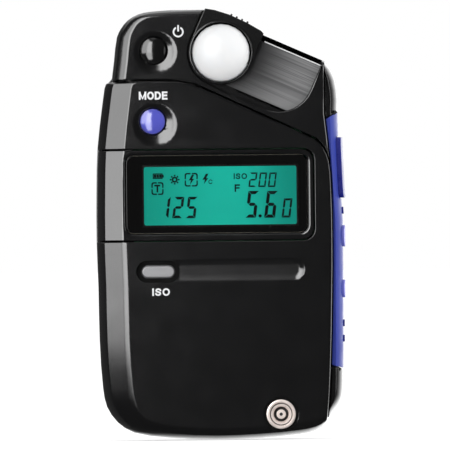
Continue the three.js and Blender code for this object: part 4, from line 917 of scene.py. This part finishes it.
def makeDisplay(look):
    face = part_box("lcd_glass")[0].y
    front, back = face - look["proud"], face - look["sunk"]
    shape = bmesh.new()
    for digit in look["digits"]:
        addDigit(shape, look, digit, front, back)
    px, py, radius = look["point"]
    addPrism(shape, circle(*spotAt(px, py), radius * pixel, 12), front, back)
    finishShape(shape, "displayNumbers", "dark_cells")
    for name, word, centre, width, height, weight in look["words"]:
        size = (width * pixel, height * pixel)
        shapePiece(name, "dark_cells", addLetters, word, spotAt(*centre), size, weight, front, back)
    shape = bmesh.new()
    addBattery(shape, look["battery"], front, back)
    addSun(shape, look["sun"], front, back)
    for centre, size in look["bolts"]:
        cx, cz = spotAt(*centre)
        addPrism(shape, [(cx + a * size * pixel, cz + b * size * pixel) for a, b in look["bolt"]], front, back)
    line, outerRound, innerRound, reach = look["frame"]
    for centre, across, high in look["frames"]:
        outer = boxRound(*spotAt(*centre), across * pixel, high * pixel, outerRound * pixel, 4)
        inner = boxRound(*spotAt(*centre), (across - line) * pixel, (high - line) * pixel, innerRound * pixel, 4)
        openFrame(shape, outer, inner, reach, front, back)
    finishShape(shape, "displaySigns", "dark_cells")


makeDisplay(displaySet)
print("display drawn")


# Turned pieces: a profile of radius and depth spun round an axis along Y.
def addTurned(shape, centre, profile, steps):
    addRings(shape, [(circle(*centre, radius, steps), depth) for radius, depth in profile])


# The sync socket's sleeve has a stepped face and a chamfered mouth, and its contact is hollow. Two dead black rings
# are painted shade, one round the sleeve for the shade of its recess and one at the step for the shade of its wall,
# and a black disc in the contact is painted shade for the inside of the hollow.
socketSet = {
    "centre": (0.01483, 0.006444),
    "sleeve": {"outer": 3.74, "step": 2.92, "stepDepth": 0.85, "mouth": 2.20, "bore": 1.90, "edge": 0.22,
               "sink": 1.9},
    "gapShadeRing": {"outer": 4.40, "inner": 3.76, "proud": 0.03, "thick": 0.08},
    "stepShadeRing": {"outer": 2.90, "inner": 2.66, "proud": 0.03, "thick": 0.06},
    "hole": {"radius": 0.42, "rim": 0.56, "proud": 0.012, "lip": 0.05, "top": 0.09, "sunk": 0.01},
}


def makeSocket(look):
    centre = look["centre"]
    low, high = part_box("sync_sleeve")
    face, back = low.y, high.y
    part = look["sleeve"]
    e = part["edge"] * mm
    outer, step, mouth, bore = (part[k] * mm for k in ("outer", "step", "mouth", "bore"))
    floorY = face + part["stepDepth"] * mm
    profile = [(bore, back), (bore, floorY + part["sink"] * mm), (bore, floorY + 2 * e), (mouth, floorY),
               (step - 0.35 * e, floorY), (step, floorY - 0.6 * e), (step + 0.15 * e, face + e), (step + e, face),
               ((step + outer) / 2, face - 0.01 * mm), (outer - e, face), (outer - 0.3 * e, face + 0.3 * e),
               (outer, face + e), (outer, back)]
    sleeve = shapePiece("turnedSleeve", "terminal_metal", addTurned, centre, profile, 72)
    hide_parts("sync_sleeve")
    addShading(sleeve, 24)
    # painted shade: dead black rings round the sleeve and at its step, where shade falls
    rings = (("socketGapShade", look["gapShadeRing"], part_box("front_cover")[0].y), ("socketStepShade", look["stepShadeRing"], floorY))
    for name, ring, level in rings:
        outer, inner, proud, thick = (value * mm for value in ring.values())
        shapePiece(name, "painted_shade_black", addBand, circle(*centre, outer, 64), circle(*centre, inner, 64),
                   level - proud, level - proud + thick)
    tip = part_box("sync_contact")[0].y
    hole, rim, proud, lip, top, sunk = (value * mm for value in look["hole"].values())
    # painted shade: a black disc in the contact's mouth stands in for the dark inside of the hollow
    shapePiece("contactHoleShade", "contact_rubber", addPrism, circle(*centre, hole, 24), tip - proud, tip + sunk)
    profile = [(hole, tip + sunk), (hole, tip - lip), (hole + lip, tip - top), (rim, tip - lip),
               (rim + lip, tip + sunk)]
    addShading(shapePiece("contactRim", "terminal_metal", addTurned, centre, profile, 32), 40)


makeSocket(socketSet)
print("sync socket turned")


# Two round buttons with a strongly domed crown. Depths are from the face of the cover.
domedSet = {
    "shape": {"radius": 3.12, "rimDepth": 0.05, "tilt": 40, "flange": 3.9, "flangeFront": 2.2, "flangeBack": 2.7,
              "stem": 1.2, "tip": 0.02, "steps": 16},
    "powerCrown": {"node": "power_button", "cover": "head_cover", "body": "power_key", "slot": "matte_black"},
    "modeCrown": {"node": "mode_button", "cover": "front_cover", "body": "mode_key", "slot": "key_blue"},
}


def makeDomed(name, look, part):
    low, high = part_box(look["node"])
    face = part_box(look["cover"])[0].y
    centre = ((low.x + high.x) / 2, (low.z + high.z) / 2)
    radius, stem, flange, tip = (part[k] * mm for k in ("radius", "stem", "flange", "tip"))
    rimY, front, back = (face + part[k] * mm for k in ("rimDepth", "flangeFront", "flangeBack"))
    tilt = math.radians(part["tilt"])
    ball = radius / math.sin(tilt)
    profile = [(tip, high.y), (stem, high.y), (stem, back), (flange, back), (flange, front), (radius, front),
               (radius, rimY + 0.1 * mm)]
    for step in range(part["steps"] + 1):
        angle = tilt * (1 - step / part["steps"])
        profile.append((max(tip, ball * math.sin(angle)), rimY - ball * (math.cos(angle) - math.cos(tilt))))
    shape = bmesh.new()
    addTurned(shape, centre, profile, 72)
    bmesh.ops.remove_doubles(shape, verts=shape.verts, dist=0.005 * mm)
    piece = finishShape(shape, name, look["slot"], look["body"])
    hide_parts(look["node"])
    addShading(piece, 35)
    return piece


# The low card shines on the two crowns alone.
crowns = bpy.data.collections.new("crowns")
for domedName in ("powerCrown", "modeCrown"):
    crowns.objects.link(makeDomed(domedName, domedSet[domedName], domedSet["shape"]))
lamps["lowCard"].light_linking.receiver_collection = crowns
print("buttons domed")


# The groove is lined with a fine skin: a nearly flat floor whose sides roll up to the rim.
grooveSet = {"cover": "front_cover", "depth": 0.56, "flat": 1.1, "half": 2.72, "endAt": 18.748, "level": 43.296,
             "from": -10.35, "thick": 0.12, "steps": 32}


def makeGrooveLiner(look):
    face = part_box(look["cover"])[0].y
    endX, level = onCover((look["endAt"], look["level"]))
    startX = onCover((look["from"], 0))[0]
    half, flat = look["half"] * mm, look["flat"] * mm
    steps = look["steps"]

    def depthAt(x, up):
        r = math.hypot(up, max(0.0, x - endX))
        share = max(0.0, r - flat) / (half - flat)
        return look["depth"] * mm * (1 - min(1.0, share) ** 2)

    shape = bmesh.new()
    grid = []
    for row in range(steps + 1):
        up = half * math.sin(math.pi / 2 * (2 * row / steps - 1))
        bow = math.sqrt(max(0.0, half ** 2 - up ** 2))
        places = [startX, (startX + endX) / 2] + [endX + bow * k / (steps - 2) for k in range(steps - 1)]
        grid.append([shape.verts.new((x, face + depthAt(x, up), level + up)) for x in places])
    for row, following in zip(grid, grid[1:]):
        for c in range(steps):
            shape.faces.new((row[c], row[c + 1], following[c + 1], following[c]))
    bmesh.ops.remove_doubles(shape, verts=shape.verts, dist=0.002 * mm)
    thicken(shape, shape.faces[:], look["thick"] * mm)
    addShading(finishShape(shape, "grooveLiner", "groove_black"), 35)


makeGrooveLiner(grooveSet)
print("groove lined")


# A place on the carriage's slide in millimetres: along it from the dome's middle, then square to it.
domeMiddle = (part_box("dome")[0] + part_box("dome")[1]) / 2


def onSlide(along, across):
    x = domeMiddle.x + (along * math.cos(slideAngle) + across * math.sin(slideAngle)) * mm
    z = domeMiddle.z + (across * math.cos(slideAngle) - along * math.sin(slideAngle)) * mm
    return x, z


def slideArc(along, radius, start, end, steps):
    turns = [start + step / steps * (end - start) for step in range(steps + 1)]
    return [onSlide(along + radius * math.cos(t), radius * math.sin(t)) for t in turns]


# Small trim: a dead black ring round the grey key, painted shade for its recess, and a light grey strip along the
# channel's upper side, a painted highlight of its edge.
trimSet = {
    "painted_shade_black": {"centre": (-15.8, 43.1), "half": (5.55, 2.75), "inner": (4.35, 1.72), "depth": (0.80, 0.92)},
    "channelHighlight": {"from": (264.9, 41.0), "to": (321.0, 64.9), "width": 0.30, "depth": (-3.98, -3.81),
                    "round": 0.06},
    "channelFloor": {"round": 7.9, "across": (-7.0, 6.85), "endAt": 15.978, "endRound": 8.72,
                     "depth": (-3.84, -3.66)},
}


def makeTrim(look):
    # painted shade: a dead black ring round the grey key stands in for the shade in its recess
    part = look["painted_shade_black"]
    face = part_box("front_cover")[0].y
    front, back = (face + depth * mm for depth in part["depth"])
    outlines = []
    for halfX, halfZ in (part["half"], part["inner"]):
        outlines.append(boxRound(*onCover(part["centre"]), halfX * mm, halfZ * mm, halfZ * mm * 0.999, 10))
    shapePiece("keyShadeRing", "painted_shade_black", addBand, *outlines, front, back)
    part = look["channelFloor"]
    low, high = part["across"]
    first, last = (math.asin(side / part["round"]) for side in (low, high))
    outline = slideArc(0, part["round"], first, last, 12)
    outline.append(onSlide(part["endAt"] + part["endRound"], high))
    outline += slideArc(part["endAt"], part["endRound"], 0, math.asin(low / part["endRound"]), 8)
    front, back = (depth * mm for depth in part["depth"])
    shapePiece("channelFloor", "channel_grey", addPrism, outline, front, back)
    # painted highlight: a light grey strip standing in for the light on the channel's upper edge
    part = look["channelHighlight"]
    front, back = (depth * mm for depth in part["depth"])
    shape = bmesh.new()
    addPrism(shape, barBetween(part["from"], part["to"], part["width"]), front, back)
    bmesh.ops.bevel(shape, geom=shape.edges[:], offset=part["round"] * mm, segments=2, affect="EDGES")
    finishShape(shape, "channelHighlight", "painted_highlight_edge")


makeTrim(trimSet)
print("trim added")


# Dark pieces in the seams, so that no seam is open to the other side.
seamSet = {
    "lightShield": {"corners": (-20.9, 84.6, -4.6, 96.4), "round": 1.5, "depth": (-1.15, -1.0)},
    "lips": {
        "panelTopLip": ((329.5, 116.1), (337.2, 110.9)),
        "panelFootLip": ((330.0, 363.6), (341.4, 369.0)),
    },
    "lipDepth": (-1.6, 7.0),
    "lipThick": 0.7,
    "seals": {
        "footSeal": ((-10.0, 1.75), (10.0, 1.75), (17.0, 2.6), (22.4, 4.1), (25.2, 6.3), (20.0, 7.0), (-10.0, 7.0)),
        "slotSeal": ((11.0, 103.1), (22.6, 97.95), (22.6, 96.4), (11.0, 101.5)),
    },
    "sealDepth": (2.3, 2.72),
}


def makeSeams(look):
    part = look["lightShield"]
    outline = roundedBox(*(v * mm for v in part["corners"]), part["round"] * mm, 4)
    parts = [("lightShield", outline, part["depth"])]
    for name, (start, end) in look["lips"].items():
        parts.append((name, barBetween(start, end, look["lipThick"]), look["lipDepth"]))
    for name, outline in look["seals"].items():
        parts.append((name, [(x * mm, z * mm) for x, z in outline], look["sealDepth"]))
    for name, outline, (front, back) in parts:
        shapePiece(name, "contact_rubber", addPrism, outline, front * mm, back * mm)


makeSeams(seamSet)
print("seams closed")


# Thumb ribs on the battery cover at the back.
ribSet = {"count": 5, "half": 7.0, "high": 0.55, "apart": 1.5, "fromTop": 5.0, "proud": 0.24, "sunk": 0.05,
          "edge": 0.1}


def makeRibs(look):
    low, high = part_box("battery_cover")
    half, tall = look["half"] * mm, look["high"] * mm / 2
    shape = bmesh.new()
    for number in range(look["count"]):
        z = high.z - (look["fromTop"] + number * look["apart"]) * mm
        addPrism(shape, boxRound((low.x + high.x) / 2, z, half, tall, tall * 0.98, 4),
                 high.y + look["proud"] * mm, high.y - look["sunk"] * mm)
    ribs = finishShape(shape, "coverRibs", "matte_black", "battery_lid")
    addModifier(ribs, "edgeRadius", "BEVEL", width=look["edge"] * mm, segments=2)
    addShading(ribs, 35)


makeRibs(ribSet)
print("ribs added")


# Floor: a pale sheet that runs out of sight and keeps the shadow. Reflections look through it.
floorSet = {"half": 14.0, "colour": (0.75, 0.75, 0.75), "darker": (0.7, 0.7, 0.7), "glow": 0.50}


def makeFloor(look):
    half = look["half"]
    shape = bmesh.new()
    shape.faces.new([shape.verts.new((x, y, 0)) for x, y in plainBox(-half, -half, half, half)])
    material, tree, both = freshMaterial("paleSheet", "AddShader")
    tone = patches(tree, coordinates(tree), 3, 2, 0.97, 1.0)
    colour = blendColour(tree, tone, look["darker"], look["colour"])
    shade = addNode(tree, "BsdfDiffuse", {"Color": colour}).outputs[0]
    clear = addNode(tree, "BsdfTransparent").outputs[0]
    path = addNode(tree, "LightPath").outputs
    seen = addNode(tree, "MixShader", {0: path["Is Glossy Ray"], 1: shade, 2: clear}).outputs[0]
    strength = combine(tree, "MULTIPLY", path["Is Camera Ray"], look["glow"])
    glow = addNode(tree, "Emission", {"Strength": strength}).outputs[0]
    feed(both, {0: seen, 1: glow})
    makePiece(shape, "paleFloor", material)


makeFloor(floorSet)
print("floor laid")
